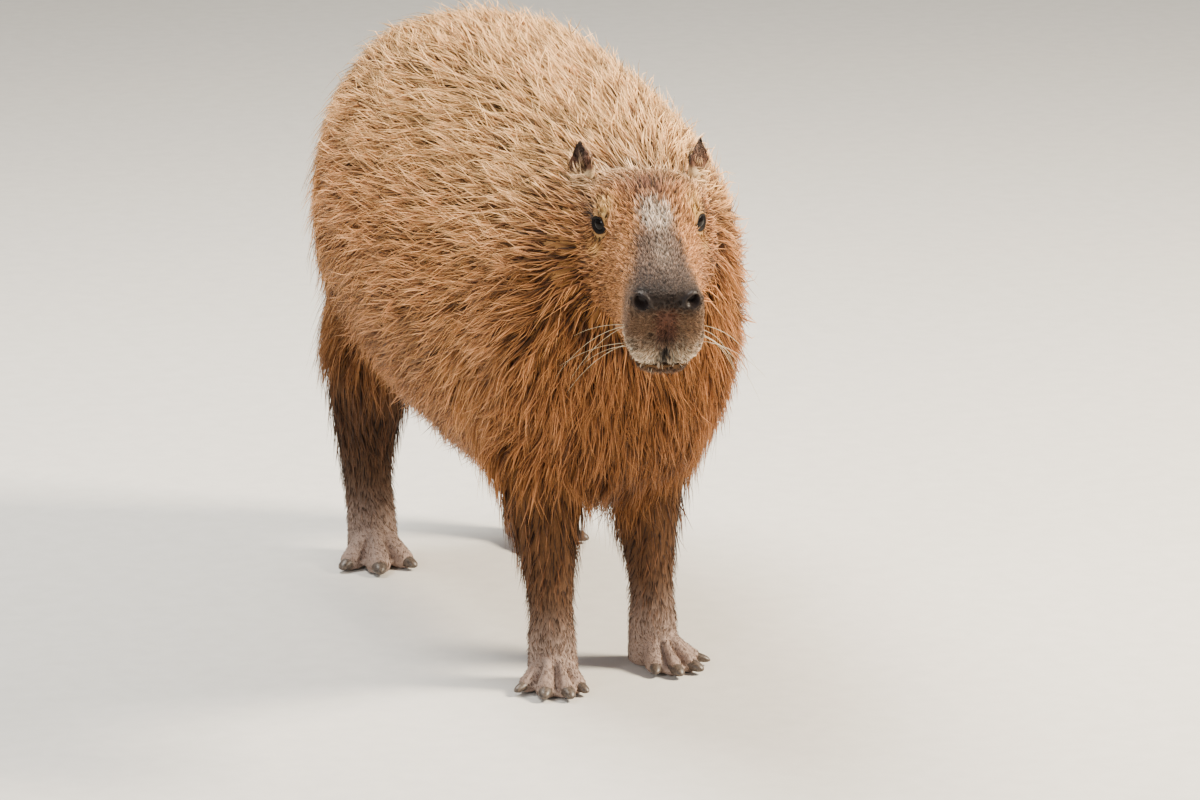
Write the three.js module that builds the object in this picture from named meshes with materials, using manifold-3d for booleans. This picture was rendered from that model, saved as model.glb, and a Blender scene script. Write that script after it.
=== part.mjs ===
// A standing capybara at life size, as a still museum model.
// Millimetres, +Z up. The animal faces -Y and its left side is +X.
import * as THREE from "three";
import { mergeVertices } from "three/addons/utils/BufferGeometryUtils.js";
import Module from "manifold-3d";

const wasm = await Module();
wasm.setup();

// Clearance kept between pieces that touch, and the grid that vertices are set on, in steps a millimetre.
const GAP = 0.3;
const GRID = 512;
const onGrid = (value) => Math.round(value * GRID) / GRID;
const ACROSS = new THREE.Vector3(1, 0, 0);
const DOWN = new THREE.Vector3(0, 0, -1);
const REARWARDS = new THREE.Vector3(0, 1, 0);

// Trunk, from the throat to the rump, without its coat. Each station is the middle of a section across
// the body, with its half width and half height as shares of the body's own.
const BODY_WIDTH = 338;
const BODY_DEPTH = 414;
const TRUNK = {
  stations: [
    { x: -20, y: -152, z: 494, wide: 0.38, tall: 0.31 },
    { x: -16, y: -106, z: 460, wide: 0.58, tall: 0.53 },
    { x: -3, y: -42, z: 419, wide: 0.76, tall: 0.82 },
    { x: 5, y: 60, z: 403, wide: 0.83, tall: 0.98 },
    { x: 4, y: 220, z: 403, wide: 0.92, tall: 1.06 },
    { x: 2, y: 380, z: 414, wide: 0.95, tall: 1.04 },
    { x: 0, y: 510, z: 416, wide: 0.9, tall: 0.96 },
    { x: 0, y: 600, z: 406, wide: 0.77, tall: 0.8 },
    { x: 0, y: 672, z: 390, wide: 0.58, tall: 0.58 },
  ].map((s) => ({ ...s, wide: (s.wide * BODY_WIDTH) / 2, tall: (s.tall * BODY_DEPTH) / 2 })),
  boxy: 2.3,
  ahead: REARWARDS,
  grid: [14, 13],
  caps: [0.07, 0.16],
  swells: [
    { name: "haunch", at: [112, 535, 325], reach: 112, amount: 6 },
    { name: "shoulder", at: [100, 10, 340], reach: 100, amount: 6 },
    { name: "elbow", at: [78, 70, 215], reach: 70, amount: 22 },
    { name: "brisket", at: [0, -75, 245], reach: 90, amount: 14 },
  ],
};
const NECK_END = { u: 0.21, tilt: 16 };

// Head, in its own frame: the eyes' midpoint is the origin and the muzzle points to -Y.
const EYE_MIDDLE = new THREE.Vector3(-26, -196, 533);
const HEAD_TURN = 12.5;
const HEAD_NOD = 12;
const HEAD = {
  stations: [
    { y: 108, top: 14, bottom: -62, wide: 46 },
    { y: 66, top: 29, bottom: -96, wide: 64 },
    { y: 18, top: 34, bottom: -107, wide: 60 },
    { y: -36, top: 27, bottom: -100, wide: 50 },
    { y: -84, top: 14, bottom: -94, wide: 42 },
    { y: -120, top: 5, bottom: -89, wide: 40 },
    { y: -146, top: -2, bottom: -87, wide: 39 },
    { y: -161, top: -9, bottom: -83, wide: 35 },
  ].map((s) => ({ x: 0, y: s.y, z: (s.top + s.bottom) / 2, wide: s.wide, tall: (s.top - s.bottom) / 2 })),
  hand: -1,
  boxy: 2.7,
  grid: [20, 20],
  caps: [0.1, 0.07],
  swells: [
    { name: "brow", at: [46, 6, 20], reach: 20, amount: 6 },
    { name: "hollow before the eye", at: [48, -26, 0], reach: 20, amount: -4 },
    { name: "cheek", at: [58, 50, -58], reach: 46, amount: 9 },
    { name: "side of the nose", at: [42, -88, -36], reach: 32, amount: -3 },
    { name: "nostril wing", at: [28, -154, -16], reach: 15, amount: 6 },
    { name: "upper lip pad", at: [21, -162, -64], reach: 21, amount: 6 },
    { name: "middle of the nose", at: [0, -165, -40], reach: 15, amount: -4 },
  ],
};
const JAW = {
  stations: [
    { x: 0, y: 40, z: -76, wide: 44, tall: 26 },
    { x: 0, y: -30, z: -82, wide: 41, tall: 23 },
    { x: 0, y: -88, z: -86, wide: 33, tall: 18 },
    { x: 0, y: -130, z: -87, wide: 29, tall: 15 },
    { x: 0, y: -153, z: -86, wide: 24, tall: 13 },
  ],
  hand: -1,
  boxy: 2.4,
  grid: [12, 10],
  caps: [0.2, 0.14],
};
const EYE = {
  radius: 10,
  side: 45.5,
  forward: -2,
  lid: [13.5, 19, 15],
  opening: [8, 11.5, 7.2],
  slant: 12,
  turn: 34,
};
const NOSTRIL = { side: 26, forward: -161, up: -18, size: [8, 8, 5], slant: 22 };
const MOUTH = { height: -84, corner: -84, rise: 8, front: -190, half: 1.4, depth: 4 };
const PHILTRUM = { half: 1.5, top: -44, depth: 3 };
const EAR = {
  side: 58,
  back: 76,
  up: 16,
  height: 34,
  width: 34,
  thick: 15,
  nod: -6,
  lean: 20,
  turn: 40,
  cup: { share: 0.8, ahead: 0.36, raised: 3 },
};

// Legs, from inside the trunk down to the paw. The x of each station is counted outwards from the paw.
const FORELEG = [
  { x: 6, y: 34, z: 330, wide: 54, tall: 70 },
  { x: 3, y: 34, z: 262, wide: 52, tall: 62 },
  { x: 1, y: 28, z: 200, wide: 43, tall: 47 },
  { x: 0, y: 16, z: 140, wide: 31, tall: 33 },
  { x: 0, y: 6, z: 86, wide: 24, tall: 24 },
  { x: 0, y: 2, z: 46, wide: 26, tall: 25 },
  { x: 0, y: -2, z: -5, wide: 29, tall: 28 },
];
const HINDLEG = [
  { x: -34, y: 8, z: 350, wide: 42, tall: 66 },
  { x: -13, y: 10, z: 276, wide: 51, tall: 66 },
  { x: -1, y: 14, z: 205, wide: 46, tall: 52 },
  { x: 1, y: 22, z: 145, wide: 35, tall: 38 },
  { x: 1, y: 20, z: 94, wide: 28, tall: 29 },
  { x: 0, y: 10, z: 50, wide: 28, tall: 28 },
  { x: 0, y: 0, z: -5, wide: 31, tall: 30 },
];
const FORE_TOES = [
  { name: "inner", fan: -30, length: 52, radius: 12 },
  { name: "second", fan: -9, length: 64, radius: 13.5 },
  { name: "third", fan: 14, length: 62, radius: 13.5 },
  { name: "outer", fan: 46, length: 52, radius: 11 },
];
const HIND_TOES = [
  { name: "inner", fan: -36, length: 62, radius: 14 },
  { name: "middle", fan: 0, length: 72, radius: 15.5 },
  { name: "outer", fan: 36, length: 62, radius: 14 },
];
const FEET = [
  { name: "right_fore", x: -65, y: -6, side: -1, splay: 12, leg: FORELEG, toes: FORE_TOES },
  { name: "left_fore", x: 61, y: 36, side: 1, splay: 14, leg: FORELEG, toes: FORE_TOES },
  { name: "right_hind", x: -98, y: 529, side: -1, splay: 12, leg: HINDLEG, toes: HIND_TOES },
  { name: "left_hind", x: 98, y: 560, side: 1, splay: 12, leg: HINDLEG, toes: HIND_TOES },
];
const WRIST_HEIGHT = 74;
const CLAW = { root: 13, reach: 10, wide: 0.6, tall: 0.5 };

// Coat: flat, tapered locks that lie over one another along their lie. pitch is the distance between
// their roots, sink is how deep a root goes into the core, and rise is how far a tip stands above it.
const BODY_LOCKS = { pitch: 87, length: 152, width: 84, thick: 7, sink: 8, rise: 23 };
const NECK_LOCKS = { pitch: 62, length: 108, width: 58, thick: 6.5, sink: 7, rise: 16 };
const LEG_LOCKS = { pitch: 60, length: 84, width: 54, thick: 6, sink: 6, rise: 10 };
const CHEEK_LOCKS = { pitch: 58, length: 64, width: 44, thick: 5.5, sink: 5, rise: 5, straight: true };
const LOCK_SHAPE = { wide: [0.6, 1, 0.8], thick: [0.9, 1, 0.7], steps: 3 };
const LOCK_SPREAD = { length: 0.1, width: 0.07, rise: 0.1, turn: 0.12, wave: 7 };
const LOCK_SEED = 41;

// Where the locks take root along each form, and where they leave room for the head and the legs.
const ROOTS = { cheek: [0.16, 0.3], neck: [0.02, 0.21], torso: [0.22, 0.985], leg: [0.1, 0.7] };
const CHEEK_TOP = 12;
const HEAD_ROOM = new THREE.Box3(new THREE.Vector3(-58, -170, -84), new THREE.Vector3(58, 80, 26));
const LEG_ROOM = { top: 240, share: 0.8 };
const LEG_FUR = { low: 150, inside: 230, outside: 275, apart: 20 };
const FAR = 2000;

// A smooth curve through the stations, evenly spaced from 0 to 1.
function through(stations) {
  const places = stations.map((_, i) => i / (stations.length - 1));
  const values = stations.flatMap((s) => [s.x, s.y, s.z, s.wide, s.tall]);
  const curve = new THREE.CubicInterpolant(places, values, 5, new Float64Array(5));
  return (t) => {
    const [x, y, z, wide, tall] = curve.evaluate(THREE.MathUtils.clamp(t, 0, 1));
    return { middle: new THREE.Vector3(x, y, z), wide, tall };
  };
}

// Half size of a rounded end, as a share of the full section, at u from that end.
const rounded = (u, cap) => Math.sqrt(Math.max(0, 1 - (1 - Math.min(u / cap, 1)) ** 2));

// The point on a form's surface at u along it and at an angle round it. grow moves the surface outwards.
function pointOn(form, u, angle, grow = 0) {
  form.curve ??= through(form.stations);
  const { middle, wide, tall } = form.curve(u);
  const along = form.curve(u + 0.01).middle.sub(form.curve(u - 0.01).middle).normalize();
  const ahead = form.ahead ?? along;
  const across = form.across ?? ACROSS;
  const side = across.clone().addScaledVector(ahead, -ahead.dot(across)).normalize();
  const up = new THREE.Vector3().crossVectors(side, ahead).multiplyScalar(form.hand ?? 1);
  const n = form.boxy ?? 2;
  const round = (Math.abs(Math.cos(angle)) ** n + Math.abs(Math.sin(angle)) ** n) ** (-1 / n);
  const end = rounded(u, form.caps[0]) * rounded(1 - u, form.caps[1]);
  const out = side.multiplyScalar(Math.sin(angle) * round * wide * end);
  out.addScaledVector(up, Math.cos(angle) * round * tall * end);
  const point = middle.clone().add(out);
  const swelling = (form.swells ?? []).reduce((sum, s) => {
    const [x, y, z] = s.at;
    const far = Math.hypot(Math.abs(point.x - middle.x) - x, point.y - y, point.z - z) / s.reach;
    return sum + s.amount * Math.exp(-far * far);
  }, 0);
  const outwards = out.normalize().multiplyScalar(Math.min(1, end * 1.6));
  outwards.addScaledVector(ahead, (u < 0.5 ? -1 : 1) * Math.sqrt(Math.max(0, 1 - end * end)));
  return point.addScaledVector(outwards, swelling + grow);
}

// A geometry as a manifold solid, turned to face outwards.
function solid(geometry) {
  geometry.deleteAttribute("normal");
  geometry.deleteAttribute("uv");
  const merged = mergeVertices(geometry, 1e-3);
  const vertProperties = merged.getAttribute("position").array;
  const triVerts = new Uint32Array(merged.index.array);
  const made = new wasm.Manifold(new wasm.Mesh({ numProp: 3, vertProperties, triVerts }));
  if (made.volume() > 0) return made;
  for (let i = 0; i < triVerts.length; i += 3) {
    [triVerts[i + 1], triVerts[i + 2]] = [triVerts[i + 2], triVerts[i + 1]];
  }
  return new wasm.Manifold(new wasm.Mesh({ numProp: 3, vertProperties, triVerts }));
}

// A closed skin over a form: a sphere's grid, moved onto the form's surface or grown by a distance.
function skinned(form, grow = 0) {
  const [segments, rings] = form.grid;
  const geometry = new THREE.SphereGeometry(1, segments, rings);
  const position = geometry.getAttribute("position");
  for (let i = 0; i < position.count; i++) {
    const row = Math.floor(i / (segments + 1));
    const column = (i % (segments + 1)) % segments;
    const u = (1 - Math.cos((Math.PI * row) / rings)) / 2;
    const p = pointOn(form, u, (2 * Math.PI * column) / segments, grow);
    position.setXYZ(i, p.x, p.y, p.z);
  }
  return solid(geometry);
}

// An ellipsoid with the given half sizes, turned and placed.
function ellipsoid([x, y, z], place, turn = [0, 0, 0], segments = 12) {
  const geometry = new THREE.SphereGeometry(1, segments, segments - 2).scale(x, y, z);
  const euler = new THREE.Euler(...turn.map(THREE.MathUtils.degToRad));
  const placed = new THREE.Matrix4().makeRotationFromEuler(euler).setPosition(...place);
  return solid(geometry.applyMatrix4(placed));
}

// A box from one corner to the other.
function block(low, high) {
  const size = high.map((h, i) => h - low[i]);
  const geometry = new THREE.BoxGeometry(...size);
  return solid(geometry.translate(...low.map((l, i) => l + size[i] / 2)));
}

const joined = (solids) => solids.reduce((whole, next) => whole.add(next));

// The largest closed surface of a solid.
const largest = (made) => made.decompose().sort((a, b) => b.volume() - a.volume())[0];

const FINISHES = {
  coat: { color: 0xa8734a, roughness: 0.9, metalness: 0 },
  muzzle: { color: 0x6e5a4c, roughness: 0.85, metalness: 0 },
  paw: { color: 0x6f625a, roughness: 0.8, metalness: 0 },
  eyeball: { color: 0x17100c, roughness: 0.12, metalness: 0 },
  horn: { color: 0x4a423c, roughness: 0.5, metalness: 0 },
};

function geometryOf(made) {
  const { vertProperties, triVerts } = made.getMesh();
  const geometry = new THREE.BufferGeometry();
  geometry.setAttribute("position", new THREE.BufferAttribute(vertProperties, 3));
  geometry.setIndex(new THREE.BufferAttribute(triVerts, 1));
  return geometry;
}

// A solid's outer surface, with its vertices on a fine grid so that the closest ones are one.
function settled(made) {
  const geometry = geometryOf(made);
  const position = geometry.getAttribute("position");
  position.array.forEach((value, i) => (position.array[i] = onGrid(value)));
  return largest(solid(geometry));
}

function piece(name, made, finish) {
  const geometry = geometryOf(settled(settled(made)));
  geometry.computeVertexNormals();
  const mesh = new THREE.Mesh(geometry, new THREE.MeshStandardMaterial(FINISHES[finish]));
  mesh.name = name;
  return mesh;
}

const animal = new THREE.Group();
const frames = {};

// A group for pieces that are made in a frame of their own.
function frame(name, place, turn) {
  const group = new THREE.Group();
  group.position.copy(place);
  group.rotation.set(...turn.map(THREE.MathUtils.degToRad), "ZXY");
  group.updateMatrixWorld(true);
  animal.add(group);
  frames[name] = group;
  return group;
}

const headFrame = frame("head", EYE_MIDDLE, [HEAD_NOD, 0, -HEAD_TURN]);

// The line of the mouth, as a sheet that rises towards the corners of the lips.
function mouthSheet() {
  const { height, corner, rise, front, half } = MOUTH;
  const line = new THREE.QuadraticBezierCurve(
    new THREE.Vector2(front, height),
    new THREE.Vector2((front + corner) / 2, height),
    new THREE.Vector2(corner, height + rise),
  ).getPoints(6);
  const lower = line.map((p) => new THREE.Vector2(p.x, p.y - half));
  const upper = line.map((p) => new THREE.Vector2(p.x, p.y + half)).reverse();
  const wide = 140;
  const outline = new THREE.Shape([...lower, ...upper]);
  const sheet = new THREE.ExtrudeGeometry(outline, { depth: wide, bevelEnabled: false });
  const basis = new THREE.Matrix4().makeBasis(REARWARDS, DOWN.clone().negate(), ACROSS);
  return solid(sheet.applyMatrix4(basis.setPosition(-wide / 2, 0, 0)));
}

// Head: eye sockets with lids, nostrils, the line of the mouth and the cleft of the upper lip.
function headSolid() {
  const { half, top, depth } = PHILTRUM;
  const sheet = mouthSheet().subtract(skinned(HEAD, -MOUTH.depth));
  const cleft = block([-half, MOUTH.front, MOUTH.height], [half, 0, top]);
  let head = skinned(HEAD).subtract(cleft.subtract(skinned(HEAD, -depth)));
  head = head.add(skinned(JAW)).subtract(sheet);
  for (const side of [-1, 1]) {
    const eye = new THREE.Vector3(side * EYE.side, EYE.forward, 0);
    const towards = side * THREE.MathUtils.degToRad(EYE.turn);
    const facing = new THREE.Vector3(side, 0, 0).applyAxisAngle(DOWN, towards);
    const opening = eye.clone().addScaledVector(facing, EYE.radius + 1);
    opening.z += 1.5;
    const turn = [-EYE.slant, 0, -side * EYE.turn];
    head = head.add(ellipsoid(EYE.lid, eye.toArray(), [-EYE.slant, 0, 0]));
    const socket = EYE.radius + GAP;
    head = head.subtract(ellipsoid([socket, socket, socket], eye.toArray(), [0, 0, 0], 10));
    head = head.subtract(ellipsoid(EYE.opening, opening.toArray(), turn));
    const { size, forward, up, slant } = NOSTRIL;
    const nostril = [side * NOSTRIL.side, forward, up];
    head = head.subtract(ellipsoid(size, nostril, [0, side * slant, side * 30], 10));
  }
  return largest(head);
}

// Ear: an upright leaf with a cup that opens forwards and outwards.
function earForm(share, forward, grid) {
  const { height, width, thick } = EAR;
  const leaf = [
    { z: -16, wide: 0.3, tall: 0.5 },
    { z: height * 0.12, wide: 0.44, tall: 0.5 },
    { z: height * 0.42, wide: 0.5, tall: 0.42 },
    { z: height * 0.75, wide: 0.36, tall: 0.3 },
    { z: height, wide: 0.12, tall: 0.14 },
  ];
  const stations = leaf.map((s) => ({
    x: 0,
    y: forward + (s.z / height) ** 2 * 4,
    z: s.z,
    wide: s.wide * width * share,
    tall: s.tall * thick * share,
  }));
  return { stations, grid, caps: [0.1, 0.12] };
}

const headGrown = joined([skinned(HEAD, GAP), skinned(JAW, GAP)]);
const headMade = headSolid();
const inHead = (made) => made.transform(headFrame.matrixWorld.elements);
const earsGrown = [];

for (const [name, side] of [["right", -1], ["left", 1]]) {
  const { share, ahead, raised } = EAR.cup;
  const ball = ellipsoid([EYE.radius, EYE.radius, EYE.radius], [0, 0, 0], [0, 0, 0], 10);
  const eye = piece(name + "_eye", ball, "eyeball");
  eye.position.set(side * EYE.side, EYE.forward, 0);
  headFrame.add(eye);
  const place = new THREE.Group();
  place.position.set(side * EAR.side, EAR.back, EAR.up);
  place.rotation.set(...[EAR.nod, side * EAR.lean, side * EAR.turn].map(THREE.MathUtils.degToRad), "ZYX");
  place.updateMatrix();
  headFrame.add(place);
  const outer = (grow) => skinned(earForm(1, 0, [10, 9]), grow);
  const cup = skinned(earForm(share, -EAR.thick * ahead, [8, 8])).translate(0, 0, raised);
  const headThere = headGrown.transform(place.matrix.clone().invert().elements);
  place.add(piece(name + "_ear", largest(outer(0).subtract(cup).subtract(headThere)), "muzzle"));
  earsGrown.push(outer(2 * GAP).transform(place.matrix.elements));
}

// Locks. The lie of the coat runs back from the head, sinks on the flanks and hangs on the rump.
const chance = (spread) => (THREE.MathUtils.seededRandom() * 2 - 1) * spread;

function frameAt(form, u, angle) {
  const step = 0.002;
  const point = pointOn(form, u, angle);
  const lengthwise = pointOn(form, u + step, angle).sub(point).divideScalar(step);
  const around = pointOn(form, u, angle + step).sub(point).divideScalar(step);
  const normal = new THREE.Vector3().crossVectors(around, lengthwise).normalize();
  const middle = form.curve(u).middle;
  if (normal.dot(point.clone().sub(middle)) < 0) normal.negate();
  return { point, lengthwise, around, normal };
}

// The place on a form's surface that lies nearest to a point, searched from a place close to it.
function nearest(form, target, from) {
  const damping = 9;
  let { u, angle } = from;
  for (let i = 0; i < 5; i++) {
    const { point, lengthwise, around } = frameAt(form, u, angle);
    const gap = target.clone().sub(point);
    const [a, b, c] = [lengthwise.lengthSq() + damping, lengthwise.dot(around), around.lengthSq() + damping];
    const [p, q] = [lengthwise.dot(gap), around.dot(gap)];
    const share = 1 / (a * c - b * b);
    u = THREE.MathUtils.clamp(u + (c * p - b * q) * share, 0.005, 0.99);
    angle += THREE.MathUtils.clamp((a * q - b * p) * share, -0.4, 0.4);
  }
  return { u, angle };
}

// One lock from its root along the lie: a row of flat, ridged sections that narrow to a tip.
// grow widens it all round for the clearance of its neighbours.
function lock(form, root, sizes, lie, variation, grow = 0) {
  const { steps, wide, thick } = LOCK_SHAPE;
  const length = sizes.length * variation.length;
  let place = root;
  const rows = [];
  for (let i = 0; i <= steps; i++) {
    const t = i / steps;
    const here = frameAt(form, place.u, place.angle);
    const flow = lie(here, place);
    flow.addScaledVector(here.normal, -flow.dot(here.normal)).normalize();
    flow.applyAxisAngle(here.normal, variation.turn);
    const way = sizes.straight && i > 0 ? rows[0] : { normal: here.normal, flow, point: here.point };
    const point = way.point.clone().addScaledVector(way.flow, sizes.straight ? length * t : 0);
    const side = new THREE.Vector3().crossVectors(way.flow, way.normal).normalize();
    const height = -sizes.sink + (sizes.rise * variation.rise + sizes.sink) * t ** 0.85;
    const middle = point.addScaledVector(way.normal, height);
    middle.addScaledVector(side, variation.wave * Math.sin(Math.PI * 1.6 * t) * t);
    rows.push({ ...way, side, middle });
    const ahead = here.point.clone().addScaledVector(flow, length / steps);
    if (!sizes.straight) place = nearest(form, ahead, place);
  }
  const beyond = (row, inner, reach) =>
    rows[row].middle.clone().lerp(rows[inner].middle, (-reach * steps) / length);
  const sections = rows.map(({ side, normal, middle }, row) => {
    if (row === steps) return [beyond(row, row - 1, 10 * grow)];
    const centre = row === 0 ? beyond(0, 1, grow) : middle;
    const halfWidth = (wide[row] * sizes.width * variation.width) / 2;
    const thickness = thick[row] * sizes.thick;
    const slope = thickness / halfWidth;
    const corner = halfWidth + (grow * (1 + Math.hypot(1, slope))) / slope;
    const below = centre.clone().addScaledVector(normal, -thickness / 3 - grow);
    const ridge = centre.clone().addScaledVector(normal, (thickness * 2) / 3 + grow * Math.hypot(1, slope));
    return [below.clone().addScaledVector(side, -corner), below.addScaledVector(side, corner), ridge];
  });
  const runs = sections.slice(1).map((section, i) => [...sections[i], ...section].map((p) => p.toArray()));
  return joined(runs.map((run) => wasm.Manifold.hull(run)));
}

// Roots at an even pitch over a form's surface, in staggered rings between two places along it.
function rootsOn(form, [from, to], pitch) {
  const roots = [];
  const fine = 400;
  let run = pitch / 2;
  let ring = 0;
  for (let i = Math.ceil(from * fine); i <= to * fine; i++) {
    const u = i / fine;
    const step = [0, 1, 2, 3].map((q) => (q * Math.PI) / 2);
    const advance = (angle) => pointOn(form, u, angle).distanceTo(pointOn(form, u - 1 / fine, angle));
    run += step.reduce((sum, angle) => sum + advance(angle), 0) / step.length;
    if (run < pitch) continue;
    run = 0;
    const around = 72;
    const angles = Array.from({ length: around + 1 }, (_, k) => (2 * Math.PI * k) / around);
    const outline = angles.map((angle) => pointOn(form, u, angle));
    const reach = [0];
    for (let k = 1; k <= around; k++) reach.push(reach[k - 1] + outline[k].distanceTo(outline[k - 1]));
    const count = Math.max(3, Math.round(reach[around] / pitch));
    for (let k = 0; k < count; k++) {
      const want = ((k + (ring % 2) / 2) / count) * reach[around];
      const at = reach.findIndex((r) => r > want);
      const share = (want - reach[at - 1]) / (reach[at] - reach[at - 1]);
      roots.push({ u, angle: (2 * Math.PI * (at - 1 + share)) / around });
    }
    ring += 1;
  }
  return roots;
}

// All the locks of a form at the roots that are kept, as they are and grown by the clearance.
function coatOf(form, range, sizes, lie, kept = () => true) {
  const plain = [];
  const grown = [];
  for (const root of rootsOn(form, range, sizes.pitch)) {
    const variation = {
      length: 1 + chance(LOCK_SPREAD.length),
      width: 1 + chance(LOCK_SPREAD.width),
      rise: 1 + chance(LOCK_SPREAD.rise),
      turn: chance(LOCK_SPREAD.turn),
      wave: chance(LOCK_SPREAD.wave),
    };
    if (!kept(pointOn(form, root.u, root.angle))) continue;
    plain.push(lock(form, root, sizes, lie, variation));
    grown.push(lock(form, root, sizes, lie, variation, GAP + 0.1));
  }
  return { plain, grown };
}

function trunkLie({ point }, { u }) {
  const low = THREE.MathUtils.smoothstep(-point.z, -560, -300);
  const rump = THREE.MathUtils.smoothstep(u, 0.8, 0.97);
  const sinking = 0.15 + 0.5 * low + 2.2 * rump;
  return new THREE.Vector3(0, 1 - 0.8 * rump, -sinking);
}

const headLie = () => REARWARDS.clone();
const legLie = () => DOWN.clone();

const inverseHead = headFrame.matrixWorld.clone().invert();
const clearOfHead = (point) => !HEAD_ROOM.containsPoint(point.clone().applyMatrix4(inverseHead));

function clearOfLegs(point) {
  return FEET.every((foot) => {
    const near = foot.leg[1];
    const x = (point.x - foot.x - foot.side * near.x) / near.wide;
    const y = (point.y - foot.y - near.y) / near.tall;
    return point.z > LEG_ROOM.top || x * x + y * y > LEG_ROOM.share;
  });
}

THREE.MathUtils.seededRandom(LOCK_SEED);
const cheekLocks = coatOf(HEAD, ROOTS.cheek, CHEEK_LOCKS, headLie, (point) => point.z < CHEEK_TOP);
const neckLocks = coatOf(TRUNK, ROOTS.neck, NECK_LOCKS, trunkLie, clearOfHead);
const torsoLocks = coatOf(TRUNK, ROOTS.torso, BODY_LOCKS, trunkLie, clearOfLegs);

headFrame.add(piece("head", largest(joined([headMade, ...cheekLocks.plain])), "coat"));
const headAndEars = inHead(joined([headGrown, ...cheekLocks.grown, ...earsGrown]));

// Neck and torso, parted by a slanting cut behind the neck.
const core = skinned(TRUNK);
const neckEnd = pointOn(TRUNK, NECK_END.u, 0).lerp(pointOn(TRUNK, NECK_END.u, Math.PI), 0.5);
const frontHalf = (shift) =>
  block([-FAR, -FAR, -FAR], [FAR, shift, FAR])
    .rotate([NECK_END.tilt, 0, 0])
    .translate(neckEnd.toArray());
const neckCore = core.intersect(frontHalf(-GAP / 2));
const neck = largest(joined([neckCore, ...neckLocks.plain]).subtract(headAndEars));
const torsoCore = core.subtract(frontHalf(GAP / 2));
const neckGrown = joined(neckLocks.grown);
const coreGrown = skinned(TRUNK, 2 * GAP);
const neckThere = joined([neckGrown, coreGrown.intersect(frontHalf(GAP / 2)), headAndEars]);
const torso = largest(joined([torsoCore, ...torsoLocks.plain]).subtract(neckThere));
animal.add(piece("neck", neck, "coat"));
animal.add(piece("torso", torso, "coat"));
const bodyGrown = joined([coreGrown, neckGrown, ...torsoLocks.grown]);

// Legs and paws. The toes fan out from the paw and rest on the floor, each with a blunt claw.
function toeForm({ fan, length, radius }) {
  const turn = THREE.MathUtils.degToRad(fan);
  const at = (along, z, wide, tall) => ({
    x: Math.sin(turn) * along * length,
    y: -Math.cos(turn) * along * length,
    z,
    wide: wide * radius,
    tall: tall * radius,
  });
  const stations = [
    at(0.05, 32, 1.0, 1.1),
    at(0.38, 22, 1.05, 1.05),
    at(0.68, 11.5, 1.0, 0.95),
    at(1.0, 7.5, 0.82, 0.74),
  ];
  const across = new THREE.Vector3(Math.cos(turn), Math.sin(turn), 0);
  return { stations, across, hand: -1, grid: [6, 6], caps: [0.2, 0.2] };
}

function clawSolid({ fan, length, radius }, grow = 0) {
  const turn = THREE.MathUtils.degToRad(fan);
  const stations = [0, 0.5, 1].map((t) => {
    const along = length - CLAW.root + t * (CLAW.root + CLAW.reach);
    return {
      x: Math.sin(turn) * along,
      y: -Math.cos(turn) * along,
      z: 9.2 - 3.4 * t * t,
      wide: radius * CLAW.wide * (1 - 0.45 * t * t),
      tall: radius * CLAW.tall * (1 - 0.55 * t * t),
    };
  });
  const across = new THREE.Vector3(Math.cos(turn), Math.sin(turn), 0);
  return skinned({ stations, across, hand: -1, grid: [6, 5], caps: [0.2, 0.25] }, grow);
}

for (const foot of FEET) {
  const paw = frame(foot.name, new THREE.Vector3(foot.x, foot.y, 0), [0, 0, foot.side * foot.splay]);
  const stations = foot.leg.map((s) => ({ ...s, x: foot.x + foot.side * s.x, y: foot.y + s.y }));
  const form = { stations, grid: [8, 10], caps: [0.08, 0.04] };
  const leg = skinned(form);
  const above = block([-FAR, -FAR, WRIST_HEIGHT + GAP / 2], [FAR, FAR, FAR]);
  const furred = ({ x, z }) => {
    const top = foot.side * (x - foot.x) > LEG_FUR.apart ? LEG_FUR.outside : LEG_FUR.inside;
    return z > LEG_FUR.low && z < top;
  };
  const legLocks = coatOf(form, ROOTS.leg, LEG_LOCKS, legLie, furred);
  const legSolid = joined([leg, ...legLocks.plain]).subtract(bodyGrown).intersect(above);
  animal.add(piece(foot.name + "_leg", largest(legSolid), "coat"));
  const toes = foot.toes.map((toe) => skinned(toeForm({ ...toe, fan: foot.side * toe.fan })));
  const palm = leg.transform(paw.matrixWorld.clone().invert().elements);
  const belowWrist = block([-FAR, -FAR, 0], [FAR, FAR, WRIST_HEIGHT - GAP / 2]);
  let pawSolid = joined([palm, ...toes]).intersect(belowWrist);
  for (const toe of foot.toes) {
    const there = { ...toe, fan: foot.side * toe.fan };
    pawSolid = pawSolid.subtract(clawSolid(there, GAP));
    paw.add(piece(foot.name + "_" + toe.name + "_claw", clawSolid(there), "horn"));
  }
  paw.add(piece(foot.name + "_paw", largest(pawSolid), "paw"));
}

// The model, with the middle of its box's bottom face at the origin.
const model = new THREE.Group();
model.add(animal);
model.updateMatrixWorld(true);
const box = new THREE.Box3().setFromObject(animal, true);
const middle = box.getCenter(new THREE.Vector3());
animal.position.set(onGrid(-middle.x), onGrid(-middle.y), onGrid(-box.min.z));

export default model;
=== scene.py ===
"""Looks of a life-size museum model of a standing capybara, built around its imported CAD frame."""

import logging
import math
from collections.abc import Callable
from dataclasses import dataclass
from enum import Enum

import bmesh
import bpy
import numpy as np
from bmesh.types import BMesh
from bpy.types import Material, Mesh, Node, NodeSocket, NodeTree, Object
from mathutils import Matrix, Vector
from mathutils.bvhtree import BVHTree
from mathutils.kdtree import KDTree


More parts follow.
